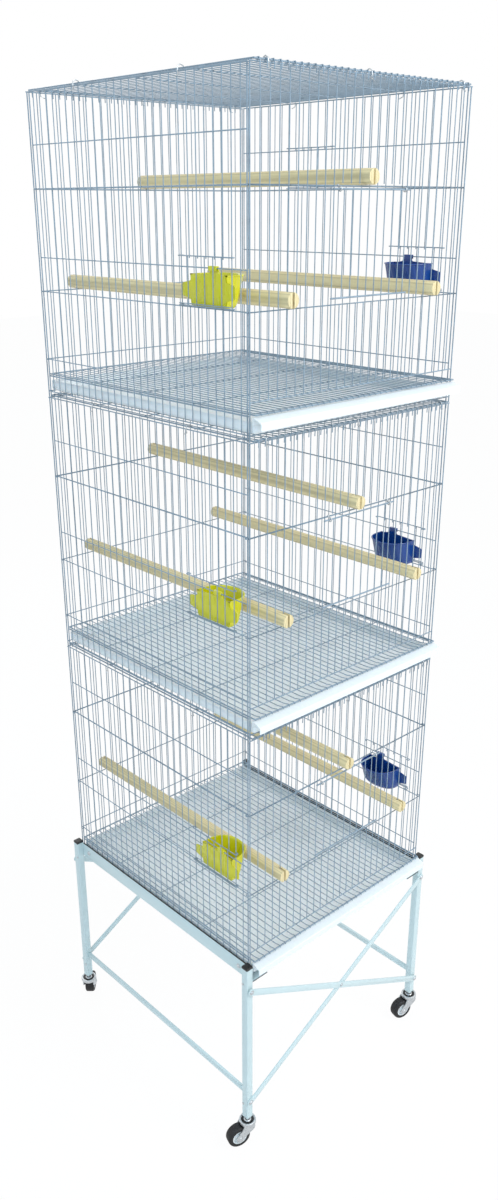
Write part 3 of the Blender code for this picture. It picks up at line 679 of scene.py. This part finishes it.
class CAGERACK_OT_roofs(Operator):
    """Close wires of the roofs, turned down over the front and back rims"""

    bl_idname = "cage_rack.roofs"
    bl_label = "Cage Roofs"

    def execute(self, context):
        for tier in TIERS:
            node = f"{tier}_roof"
            bent_wires(f"{node}_wires", close_wires(node, ROOF_END, ROOF_END), node)
        return {"FINISHED"}


class CAGERACK_OT_grilles(Operator):
    """Sliding floor grilles, whose front ends curl over the lip of the tray"""

    bl_idname = "cage_rack.grilles"
    bl_label = "Floor Grilles"

    def execute(self, context):
        for tier in TIERS:
            node = f"{tier}_grille"
            bent_wires(f"{node}_wires", close_wires(node, GRILLE_FRONT_END, GRILLE_BACK_END), node, node)
        return {"FINISHED"}


def tray_section(low, high, lip_edge):
    """Outline in Y and Z of the tray's front, rolled over and turned down as a lip."""
    rim = high.z - 0.0002
    root = lip_edge + 0.0169
    foot = low.z + 0.0121
    return [(root, foot), (root, rim), (root - 0.0030, rim), (lip_edge + 0.0035, rim - 0.0040),
            (lip_edge + 0.0012, rim - 0.0047), (lip_edge, rim - 0.0062), (lip_edge, rim - 0.0153),
            (lip_edge + 0.0014, rim - 0.0153), (lip_edge + 0.0015, rim - 0.0068),
            (lip_edge + 0.0022, rim - 0.0060), (lip_edge + 0.0042, rim - 0.0055),
            (root - 0.0034, rim - TRAY_WALL), (root - TRAY_WALL, rim - TRAY_WALL), (root - TRAY_WALL, foot)]


class CAGERACK_OT_trays(Operator):
    """Moulded trays with rounded walls and a rolled front lip"""

    bl_idname = "cage_rack.trays"
    bl_label = "Trays"

    def execute(self, context):
        for tier in TIERS:
            make_tray(f"{tier}_tray")
        return {"FINISHED"}


def make_tray(node):
    low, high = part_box(node)
    rim, front = low.z + TRAY_HEIGHT, low.y + TRAY_LIP_REACH
    bm = bmesh.new()
    block = Matrix.Diagonal((TRAY_WIDTH, high.y - front, rim - low.z, 1.0))
    middle = Matrix.Translation((0.0, (front + high.y) / 2, (low.z + rim) / 2))
    bmesh.ops.create_cube(bm, size=1.0, matrix=middle @ block)
    top = max(bm.faces, key=lambda face: face.calc_center_median().z)
    bmesh.ops.delete(bm, geom=[top], context="FACES")
    corners = [edge for edge in bm.edges if not edge.is_boundary]
    bmesh.ops.bevel(bm, geom=corners, offset=0.004, segments=4, profile=0.5, affect="EDGES")
    pan = mesh_piece(f"{node}_pan", bm, "tray", node, node)
    wall = pan.modifiers.new("wall", "SOLIDIFY")
    wall.thickness = TRAY_WALL
    wall.offset = -1.0
    bm = bmesh.new()
    side_on = Matrix(((0, 0, 1, 0), (1, 0, 0, 0), (0, 1, 0, 0), (0, 0, 0, 1)))
    plate(bm, tray_section(low, high, low.y), TRAY_LIP_WIDTH, side_on)
    lip = mesh_piece(f"{node}_lip", bm, "tray", body=node, sharp=50.0)
    ease = lip.modifiers.new("eased", "BEVEL")
    ease.width = 0.0003
    ease.segments = 2


class CAGERACK_OT_doors(Operator):
    """Wire front doors, lift-up feeder doors and the nest door"""

    bl_idname = "cage_rack.doors"
    bl_label = "Doors"

    def execute(self, context):
        for tier in TIERS:
            make_doors(tier)
        return {"FINISHED"}


def make_doors(tier):
    name = f"{tier}_door"
    bent_wires(f"{name}_wires", front_door_runs(CageWall(tier, "front")), name, name)
    for side in ("left", "right"):
        hang_side_door(f"{tier}_feeder_door_{side}", CageWall(tier, side), FEEDER_WIRES)
    if tier == "top":
        hang_side_door("top_nest_door", CageWall(tier, "right"), NEST_WIRES)


def front_door_runs(wall):
    """A door hung on a thick pin, with a thick bottom wire that reaches past the doorway."""
    radius = wires().wire / 2
    w = DOOR_PLANE
    left, right = wall.column(DOOR_WIRES[0]) - 0.004, wall.column(DOOR_WIRES[1]) + 0.004
    runs = [(wall.level(left, right, w, z), 0.0012) for z in (DOOR_PIN, DOOR_FOOT)]
    for index in range(DOOR_WIRES[0] + 1, DOOR_WIRES[1]):
        runs.append((wall.upright(wall.column(index), w, DOOR_FOOT, DOOR_PIN), radius))
    return runs


# End of a side door's level wire, hooked round a wire of the wall, as (in from that wire, inward of the wall)
DOOR_HOOK = ((0.0018, 0.0019), (-0.0019, 0.0019), (-0.0032, 0.0009), (-0.0032, -0.0018), (-0.0020, -0.0030))


def hang_side_door(name, wall, span):
    """A door of thin wires, each end of its level wires hooked round a wire of the wall."""
    radius = wires().wire / 2
    w = DOOR_PLANE
    low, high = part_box(name)
    foot, head = low.z - wall.base + 0.0009, high.z - wall.base - 0.0012
    first, last = wall.column(span[0]), wall.column(span[1])
    runs = []
    for z in (foot, head):
        points = [wall.at(first + u, deep, z) for u, deep in DOOR_HOOK]
        points += [wall.at(last - u, deep, z) for u, deep in reversed(DOOR_HOOK)]
        runs.append((points, 0.0008))
    runs.append((wall.level(first - 0.002, last + 0.002, w - 0.0001, foot + 0.0022), radius))
    for index in range(span[0] + 1, span[1]):
        runs.append((wall.upright(wall.column(index), w + 0.0002, foot, head), radius))
    bent_wires(f"{name}_wires", runs, name, name)


class CAGERACK_OT_perches(Operator):
    """Round wooden perches, each end sawn to take a wire"""

    bl_idname = "cage_rack.perches"
    bl_label = "Perches"

    def execute(self, context):
        for tier in TIERS:
            for place in ("high", "left", "right"):
                make_perch(f"{tier}_perch_{place}")
        return {"FINISHED"}


def make_perch(node):
    low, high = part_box(node)
    radius = fittings().perch_diameter / 2
    centre = (low + high) / 2
    half = (high.y - low.y) / 2
    ease = 0.0008
    bm = bmesh.new()
    profile = [(0.0, -half), (radius - ease, -half), (radius - 0.3 * ease, -half + 0.3 * ease),
               (radius, -half + ease)]
    profile += [(radius, -half + ease + (2 * half - 2 * ease) * k / 12) for k in range(1, 13)]
    profile += [(radius - 0.3 * ease, half - 0.3 * ease), (radius - ease, half), (0.0, half)]
    turned(bm, profile, Matrix.Translation(centre) @ Matrix.Rotation(-math.pi / 2, 4, "X"), 36)
    piece = mesh_piece(node + "_dowel", bm, "perch", node)
    cutter = bmesh.new()
    for sign in (-1, 1):
        soft_box(cutter, centre + Vector((-0.0018, sign * (half - 0.0135), -0.02)),
                 centre + Vector((0.0018, sign * (half + 0.002), 0.02)), 0.0002, 1)
    mesh = bpy.data.meshes.new("saw_cut")
    bmesh.ops.recalc_face_normals(cutter, faces=cutter.faces)
    cutter.to_mesh(mesh)
    cutter.free()
    saw = add_object("saw_cut", mesh)
    step = piece.modifiers.new("saw", "BOOLEAN")
    step.operation = "DIFFERENCE"
    step.solver = "EXACT"
    step.object = saw
    bake(piece)
    bpy.data.objects.remove(saw)
    piece.data.set_sharp_from_angle(angle=math.radians(35))


def bake(piece):
    """Applies the piece's modifiers to its mesh."""
    graph = bpy.context.evaluated_depsgraph_get()
    graph.update()
    mesh = bpy.data.meshes.new_from_object(piece.evaluated_get(graph))
    piece.modifiers.clear()
    piece.data = mesh


def cup_ring(half, reach, inset, ribbed):
    """Rim line of a cup at one height, as (u, w) from the middle of its back, with upright ribs outside."""
    depth = fittings().rib_depth if ribbed else 0.0
    half, reach = half - inset, reach - 2 * inset
    ring = []
    for step in range(CUP_POINTS):
        angle = math.pi * step / (CUP_POINTS - 1)
        bulge = max(math.sin(angle), 0.0) ** 0.6
        u, w = half * math.cos(angle), reach * bulge
        groove = depth * max(0.0, math.cos(step * math.pi * 2 / 9.5)) ** 2 * min(1.0, 4 * bulge * bulge)
        length = math.hypot(u, w) or 1.0
        ring.append((u - groove * u / length, w - groove * w / length + inset))
    return ring


def make_cup(node, look, wall):
    low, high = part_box(node)
    foot, rim = low.z - wall.base, CUP_RIM
    middle = (low.y + high.y) / 2
    spread = CUP_RIM_REACH - CUP_FOOT_REACH
    bm = bmesh.new()
    rings = []

    def add_ring(z, half, reach, inset=0.0, ribbed=False):
        rings.append([bm.verts.new(wall.at(middle + u, CUP_BACK + w, z))
                      for u, w in cup_ring(half, reach, inset, ribbed)])

    for k in range(CUP_RINGS + 1):
        t = k / CUP_RINGS
        tuck = 0.0022 * max(0.0, 1 - 6 * t) ** 2
        add_ring(foot + (rim - foot) * t, CUP_HALF - tuck, CUP_FOOT_REACH + spread * t - tuck,
                 ribbed=0 < k < CUP_RINGS)
    for grow, z in ((0.0006, rim - 0.0016), (0.0008, rim - 0.0006), (0.0003, rim)):
        add_ring(z, CUP_HALF + grow, CUP_RIM_REACH + grow)
    for k in range(CUP_RINGS + 1):
        t = 1 - k / CUP_RINGS
        z = foot + 0.0016 + (rim - 0.0004 - foot - 0.0016) * t
        add_ring(z, CUP_HALF, CUP_FOOT_REACH + spread * t, CUP_WALL)
    bridge(bm, rings)
    bm.faces.new(rings[0])
    bm.faces.new(rings[-1])
    mesh_piece(node + "_bowl", bm, look, node, sharp=60.0)
    make_cup_back(node, look, wall, middle, foot)


def make_cup_back(node, look, wall, middle, foot):
    """Winged back plate of a cup, with its tab and the hook on top."""
    sheet = bmesh.new()
    body, wing = 0.0329, 0.0505
    tab = -0.012 if wall.side == "left" else 0.012
    edge = [(body, foot + 0.0007), (body, 0.168), (wing, 0.171), (wing, 0.187), (body, 0.190), (body, 0.1980)]
    outline = edge + [(tab + 0.008, 0.1995), (tab + 0.008, 0.2087), (tab - 0.008, 0.2087),
                      (tab - 0.008, 0.1995)]
    outline += [(-u, z) for u, z in reversed(edge)]
    face_on = placed(wall.at(middle, 0.00345, 0.0), wall.along, UP)
    plate(sheet, rounded(outline, 0.0025), CUP_WALL, face_on, 0.0004)
    hook = [(0.0039, 0.2077), (0.0039, 0.2091), (-0.0007, 0.2091), (-0.0007, 0.2033), (0.0004, 0.2033),
            (0.0004, 0.2077)]
    side_on = placed(wall.at(middle + tab, 0.0, 0.0), wall.inward, UP)
    plate(sheet, hook, 0.015, side_on, 0.0002)
    mesh_piece(node + "_back", sheet, look, sharp=40.0)


class CAGERACK_OT_cups(Operator):
    """Ribbed cups with winged backs, hooked over the rail of the feeder doorway"""

    bl_idname = "cage_rack.cups"
    bl_label = "Cups"

    def execute(self, context):
        for tier in TIERS:
            make_cup(f"{tier}_cup_yellow", "yellow", CageWall(tier, "left"))
            make_cup(f"{tier}_cup_blue", "blue", CageWall(tier, "right"))
        return {"FINISHED"}


# Where the clips sit along each wall's top, and a clip's line as (inward, height)
CLIP_PLACES = {"front": (-0.183, -0.005, 0.185), "left": (-0.110, 0.110), "right": (-0.110, 0.110),
               "back": (-0.183, 0.0, 0.183)}
CLIP_LINE = ((0.0068, 0.4298), (0.0050, 0.4330), (0.0010, 0.4345), (-0.0034, 0.4326), (-0.0040, 0.4275),
             (-0.0030, 0.4240))


class CAGERACK_OT_clips(Operator):
    """Wire clips that tie each roof to the walls, and the eyes of the front doors"""

    bl_idname = "cage_rack.clips"
    bl_label = "Clips"

    def execute(self, context):
        for tier in TIERS:
            make_clips(tier)
        return {"FINISHED"}


def make_clips(tier):
    runs = []
    for side, places in CLIP_PLACES.items():
        wall = CageWall(tier, side)
        for u in places:
            line = [wall.at(u, w, z) for w, z in CLIP_LINE]
            runs.append((line + [wall.at(u + 0.006, -0.0024, 0.4215)], 0.0008))
    wall = CageWall(tier, "front")
    for index in (DOOR_WIRES[0], DOOR_WIRES[1] - 1):
        u = wall.column(index) + wall.pitch / 2
        root = [wall.at(u, 0.0022, HEAVY_RAIL[0] + 0.0018), wall.at(u, 0.0, HEAVY_RAIL[0] + 0.0010)]
        ring = [wall.at(u, -0.0031 + 0.0028 * math.cos(a), DOOR_PIN + 0.0028 * math.sin(a))
                for a in [math.radians(k) for k in range(20, 330, 30)]]
        runs.append((root + ring, 0.0008))
    bent_wires(f"{tier}_clips", runs, look="zinc")


# Stand

class CAGERACK_OT_frame(Operator):
    """Square posts, angle rails and low bars of the stand"""

    bl_idname = "cage_rack.frame"
    bl_label = "Stand Frame"

    def execute(self, context):
        make_stand_side("stand_side_left", -1)
        make_stand_side("stand_side_right", 1)
        return {"FINISHED"}


def make_stand_side(node, sign):
    """Two posts, an angle rail with black strips along its edges as painted shade, a low bar, the caps and
    the bolts of one side.
    """
    low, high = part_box(node)
    base = high.z - 0.0300
    x, near, leg, shelf = sign * POST_X, sign * RAIL_NEAR, sign * RAIL_FAR, sign * SHELF_EDGE
    reach = POST_Y + POST_HALF - 0.0006
    inner = POST_Y - POST_HALF + 0.0005
    shaded_reach = reach - 0.014
    coated = bmesh.new()
    for y in (-POST_Y, POST_Y):
        square_tube(coated, x, y, low.z, base + 0.0265, POST_HALF, POST_WALL)
    soft_box(coated, (near, -reach, base - 0.0024), (leg, reach, base + 0.0245), 0.0005)
    soft_box(coated, (sign * SHELF_ROOT, -reach, base - 0.0024), (shelf, reach, base - 0.0009), 0.0005)
    soft_box(coated, (sign * BAR_NEAR, -inner, BAR_FOOT), (sign * BAR_FAR, inner, BAR_TOP), 0.0008)
    mesh_piece(f"{node}_coated", coated, "coat", node)
    caps_and_shade_strips = bmesh.new()
    for y in (-POST_Y, POST_Y):
        soft_box(caps_and_shade_strips, (x - CAP_HALF, y - CAP_HALF, base + 0.0255),
                 (x + CAP_HALF, y + CAP_HALF, base + 0.0300), 0.0014, 3)
    # Black strips on the top of the rail's inner face, on its top edge and on the shelf's front end: painted
    # shade of the narrow dark gaps there.
    for start, end in (((near - sign * 0.0003, -shaded_reach, base + 0.0195), (near, shaded_reach, base + 0.0256)),
                       ((near - sign * 0.0002, -shaded_reach, base + 0.0245), (leg, shaded_reach, base + 0.0256)),
                       ((shelf + sign * 0.0004, -reach - 0.0003, base - 0.0022),
                        (near, -reach + 0.0002, base - 0.0007))):
        soft_box(caps_and_shade_strips, start, end, 0.0001, 1)
    mesh_piece(f"{node}_plugs", caps_and_shade_strips, "caps_and_shade")
    bolts = bmesh.new()
    for y in (-RAIL_BOLT_Y, RAIL_BOLT_Y):
        bolt_head(bolts, turn_to((sign, 0, 0), (leg, y, base + 0.0110)), stand().bolt_radius, 0.0026)
    for y in (0.0035 - POST_Y, POST_Y - 0.0035):
        for z in (base - 0.004, 0.084):
            bolt_head(bolts, turn_to((sign, 0, 0), (x + sign * POST_HALF, y, z)), 0.0022, 0.0012)
    mesh_piece(f"{node}_bolts", bolts, "zinc")


def square_tube(bm, x, y, bottom, top, half, wall):
    """An upright square tube with rounded corners, open at the foot."""
    rings = []
    for reach, z, corner in ((half - wall, bottom + 0.030, 0.0004), (half - wall, bottom, 0.0004),
                             (half, bottom, 0.0014), (half, top, 0.0014)):
        outline = rounded([(-reach, -reach), (reach, -reach), (reach, reach), (-reach, reach)], corner, 4)
        rings.append([bm.verts.new((x + u, y + v, z)) for u, v in outline])
    bridge(bm, rings)
    bm.faces.new(rings[0])
    bm.faces.new(rings[-1])


class CAGERACK_OT_braces(Operator):
    """Crossed flat bars at the front and back of the stand, with their bolts"""

    bl_idname = "cage_rack.braces"
    bl_label = "Braces"

    def execute(self, context):
        make_braces("front", -1)
        make_braces("back", 1)
        return {"FINISHED"}


def make_braces(side, facing):
    middle, rise = (BRACE_TOP + BRACE_FOOT) / 2, (BRACE_TOP - BRACE_FOOT) / 2
    half = math.hypot(rise, POST_X) + 0.006
    face = POST_Y + POST_HALF + 0.0003
    flat = Matrix.Rotation(math.pi / 2, 4, "X")
    outline = rounded([(-half, -BRACE_HALF), (half, -BRACE_HALF), (half, BRACE_HALF), (-half, BRACE_HALF)],
                      0.0050, 6)
    bolts = bmesh.new()
    for name, slope, near in (("rising", 1, face), ("falling", -1, face + 0.0023)):
        node = f"brace_{side}_{name}"
        tilt = Matrix.Rotation(-math.atan2(rise, POST_X) * slope, 4, "Y")
        place = Matrix.Translation((0.0, facing * (near + BRACE_THICKNESS / 2), middle)) @ tilt
        bm = bmesh.new()
        plate(bm, outline, BRACE_THICKNESS, place @ flat, 0.0005)
        mesh_piece(f"{node}_bar", bm, "coat", node)
        for sign in (-1, 1):
            head = (sign * POST_X, facing * (near + BRACE_THICKNESS), middle + sign * slope * rise)
            bolt_head(bolts, turn_to((0, facing, 0), head), stand().bolt_radius, 0.0026)
    bolt_head(bolts, turn_to((0, facing, 0), (0.0, facing * (face + 0.0043), middle)),
              stand().bolt_radius * 0.8, 0.0020)
    mesh_piece(f"brace_{side}_bolts", bolts, "zinc")


def joint_named(name):
    return next(joint for joint in frame["joints"] if joint["name"] == name)


class CAGERACK_OT_casters(Operator):
    """Stem casters: pressed fork with its ball bearing, whose groove round the stem is painted as shade by a
    black ring, riveted axle, rubber wheel with a pale hub
    """

    bl_idname = "cage_rack.casters"
    bl_label = "Casters"

    def execute(self, context):
        for corner in ("front_left", "front_right", "back_left", "back_right"):
            make_caster(corner)
        return {"FINISHED"}


def make_caster(corner):
    pivot = Vector(joint_named(f"swivel_{corner}")["pos_m"])
    roll = joint_named(f"roll_{corner}")
    axle, side = Vector(roll["pos_m"]), Vector(roll["axis"]).normalized()
    make_fork(corner, pivot, axle, side)
    make_wheel(corner, axle, side)


def make_fork(corner, pivot, axle, side):
    node = f"caster_fork_{corner}"
    trail = Vector((axle.x - pivot.x, axle.y - pivot.y, 0.0))
    arm = trail.length
    trail.normalize()
    top = pivot.z
    plate_z = top - 0.007
    bm = bmesh.new()
    foot = Vector((pivot.x, pivot.y, 0.0))
    upright = Matrix.Translation(foot)
    turned(bm, [(0.0, plate_z - 0.0002), (0.0120, plate_z - 0.0002), (0.0140, plate_z + 0.0006),
                (0.0145, plate_z + 0.0018), (0.0145, plate_z + 0.0050), (0.0141, top - 0.0006),
                (0.0132, top - 0.0001), (0.0118, top - 0.0001), (0.0110, top - 0.0008),
                (0.0108, top - 0.0030), (0.0066, top - 0.0030), (0.0064, top - 0.0006), (0.0058, top),
                (0.0049, top + 0.0003), (0.00485, top + 0.0283), (0.0040, top + 0.0290),
                (0.0, top + 0.0290)], upright, 40)
    half = 0.008
    shoulder, low, high = 0.0093, arm - half, arm + half
    saddle = [(-shoulder, plate_z + 0.0030), (shoulder, plate_z + 0.0030),
              (shoulder + 0.0040, plate_z - 0.0040), (high, axle.z + 0.0020),
              (high - 0.0024, axle.z - 0.0056), (arm, axle.z - half), (low + 0.0024, axle.z - 0.0056),
              (low, axle.z), (-shoulder, plate_z - 0.0080)]
    cheek, thickness = 0.0102, 0.0018
    for sign in (-1, 1):
        place = placed(foot + side * sign * cheek, trail, UP)
        plate(bm, rounded(saddle, 0.0040, 4), thickness, place, 0.0005)
        rivet = turn_to(side * sign, axle + side * sign * (cheek + thickness / 2))
        bolt_head(bm, rivet, 0.0036, 0.0016, 0.0004)
    soft_box(bm, (-shoulder, -0.0098, plate_z - 0.0002), (shoulder, 0.0098, plate_z + 0.0018), 0.0008, 2,
             placed(foot, trail, side, UP))
    turned(bm, [(0.0, -0.0106), (0.0025, -0.0106), (0.0025, 0.0106), (0.0, 0.0106)],
           turn_to(side, axle), 20)
    mesh_piece(f"{node}_pressed", bm, "zinc", node, f"fork_{corner}")
    # A black ring filling the groove round the stem: painted shade of the ball bearing's gap.
    shaded_race = turned_ring([(0.0067, top - 0.0030), (0.0107, top - 0.0030), (0.0107, top - 0.0009),
                        (0.0067, top - 0.0009)], upright, 40)
    mesh_piece(f"{node}_race", shaded_race, "caps_and_shade", body=f"fork_{corner}")


def turned_ring(profile, place, steps):
    """A ring turned from a closed profile, in a mesh of its own."""
    bm = bmesh.new()
    turned(bm, profile + [profile[0]], place, steps)
    bmesh.ops.remove_doubles(bm, verts=bm.verts, dist=1e-6)
    return bm


def make_wheel(corner, axle, side):
    node = f"caster_wheel_{corner}"
    radius = stand().wheel_radius
    place = turn_to(side, axle)
    half = 0.0088
    tread = [(0.0125, half - 0.0012), (0.0132, half - 0.0004), (0.0160, half), (0.0178, half - 0.0004),
             (0.0190, half - 0.0014), (0.0197, half - 0.0028), (radius, half - 0.0048)]
    tyre = turned_ring(tread + [(r, -z) for r, z in reversed(tread)], place, 56)
    mesh_piece(f"{node}_tyre", tyre, "rubber", node, f"wheel_{corner}")
    face = [(0.0029, half - 0.0002), (0.0052, half - 0.0002), (0.0058, half - 0.0010),
            (0.0068, half - 0.0028), (0.0100, half - 0.0028), (0.0108, half - 0.0010),
            (0.0128, half - 0.0008)]
    hub = turned_ring(face + [(r, -z) for r, z in reversed(face)], place, 48)
    mesh_piece(f"{node}_hub", hub, "hub", body=f"wheel_{corner}")


# Studio

class CAGERACK_OT_stage(Operator):
    """White floor, soft light from all round and the camera"""

    bl_idname = "cage_rack.stage"
    bl_label = "Studio"

    def execute(self, context):
        make_floor()
        make_sky()
        area_light("key", (0.9, -2.6, 3.0), (0.0, 0.0, 0.8), 1.8, 66.0)
        area_light("fill", (-2.4, -1.6, 2.6), (0.0, 0.0, 0.8), 2.2, 32.0, "A9D6F2")
        area_light("rim", (0.6, 2.6, 2.6), (0.0, 0.0, 1.0), 1.6, 12.0)
        make_camera()
        context.scene.view_settings.view_transform = "Standard"
        return {"FINISHED"}


def seen_directly(tree):
    """1 for what the camera or a reflection sees, 0 for light that falls on the surfaces."""
    rays = add_node(tree, "ShaderNodeLightPath")
    either = {0: rays.outputs["Is Camera Ray"], 1: rays.outputs["Is Glossy Ray"]}
    return add_node(tree, "ShaderNodeMath", either, operation="MAXIMUM").outputs[0]


def make_floor():
    mesh = bpy.data.meshes.new("floor")
    bm = bmesh.new()
    bmesh.ops.create_grid(bm, x_segments=1, y_segments=1, size=12.0)
    bm.to_mesh(mesh)
    bm.free()
    floor = add_object("floor", mesh)
    floor.location.z = -0.0002
    made, tree, shader = surface("white_paper", studio().floor, roughness=0.8)
    mesh.materials.append(made)
    glow = add_node(tree, "ShaderNodeEmission", {"Color": (1.0, 1.0, 1.0, 1.0), "Strength": 1.0})
    part = add_node(tree, "ShaderNodeMath", {0: seen_directly(tree), 1: 0.96}, operation="MULTIPLY")
    mixed = add_node(tree, "ShaderNodeMixShader", {0: part.outputs[0], 1: shader.outputs["BSDF"],
                                                   2: glow.outputs["Emission"]})
    tree.links.new(mixed.outputs["Shader"], tree.nodes["Material Output"].inputs["Surface"])


def make_sky():
    world = bpy.data.worlds.new("white_room")
    bpy.context.scene.world = world
    world.use_nodes = True
    tree = world.node_tree
    tree.nodes.clear()
    lit = add_node(tree, "ShaderNodeBackground", {"Color": (*linear("EEF7FC"), 1.0),
                                                  "Strength": studio().daylight})
    seen = add_node(tree, "ShaderNodeBackground", {"Color": (1.0, 1.0, 1.0, 1.0), "Strength": 1.0})
    mixed = add_node(tree, "ShaderNodeMixShader", {0: seen_directly(tree), 1: lit.outputs["Background"],
                                                   2: seen.outputs["Background"]})
    add_node(tree, "ShaderNodeOutputWorld", {"Surface": mixed.outputs["Shader"]})


def area_light(name, place, target, size, power, tint="FFFFFF"):
    lamp = bpy.data.lights.new(name, "AREA")
    lamp.shape = "DISK"
    lamp.size = size
    lamp.energy = power
    lamp.color = linear(tint)
    holder = add_object(name, lamp)
    holder.location = place
    holder.rotation_euler = (Vector(target) - Vector(place)).to_track_quat("-Z", "Y").to_euler()


def make_camera():
    """The photograph's viewpoint: 42.9 degrees round from the front, looking 22.3 degrees down."""
    turn, pitch, roll = math.radians(42.885), math.radians(22.290), math.radians(-0.112)
    forward = Vector((math.sin(turn) * math.cos(pitch), math.cos(turn) * math.cos(pitch), -math.sin(pitch)))
    right = Vector((math.cos(turn), -math.sin(turn), 0.0))
    above = right.cross(forward)
    tilted_right = right * math.cos(roll) + above * math.sin(roll)
    tilted_up = above * math.cos(roll) - right * math.sin(roll)
    lens = bpy.data.cameras.new("camera")
    lens.sensor_fit = "VERTICAL"
    lens.sensor_height = 36.0
    # Focal length and centre of the view, in pixels of the photograph's 498 by 1200
    focal, centre_x, centre_y, width, height = 1012.46, 246.45, 619.46, 498, 1200
    lens.lens = focal / height * lens.sensor_height
    lens.shift_x = (width / 2 - centre_x) / height
    lens.shift_y = (centre_y - height / 2) / height
    lens.clip_end = 50.0
    holder = add_object("camera", lens)
    holder.matrix_world = placed((-1.0792, -1.1627, 1.4816), tilted_right, tilted_up, -forward)
    bpy.context.scene.camera = holder


class CAGERACK_PT_panel(Panel):
    """Sizes, colours and build steps of the cage rack"""

    bl_idname = "CAGERACK_PT_panel"
    bl_label = "Cage Rack"
    bl_space_type = "VIEW_3D"
    bl_region_type = "UI"
    bl_category = "Cage Rack"

    def draw(self, context):
        for group in GROUPS:
            values = getattr(context.scene, group)
            box = self.layout.box()
            for key in values.__annotations__:
                box.prop(values, key)
        for step in STEPS:
            self.layout.operator(step.bl_idname)


GROUPS = {"cage_rack_wires": CageWireSettings, "cage_rack_fittings": CageFittingSettings,
          "cage_rack_stand": RackStandSettings, "cage_rack_studio": StudioSettings}
STEPS = (CAGERACK_OT_walls, CAGERACK_OT_roofs, CAGERACK_OT_grilles, CAGERACK_OT_trays, CAGERACK_OT_doors,
         CAGERACK_OT_perches, CAGERACK_OT_cups, CAGERACK_OT_clips, CAGERACK_OT_frame, CAGERACK_OT_braces,
         CAGERACK_OT_casters, CAGERACK_OT_stage)


def register():
    for kind in (*GROUPS.values(), *STEPS, CAGERACK_PT_panel):
        bpy.utils.register_class(kind)
    for name, kind in GROUPS.items():
        setattr(bpy.types.Scene, name, PointerProperty(type=kind))


def unregister():
    for name in GROUPS:
        delattr(bpy.types.Scene, name)
    for kind in (CAGERACK_PT_panel, *reversed(STEPS), *GROUPS.values()):
        bpy.utils.unregister_class(kind)


def main():
    register()
    for step in STEPS:
        group, name = step.bl_idname.split(".")
        getattr(getattr(bpy.ops, group), name)()


if __name__ == "__main__":
    main()
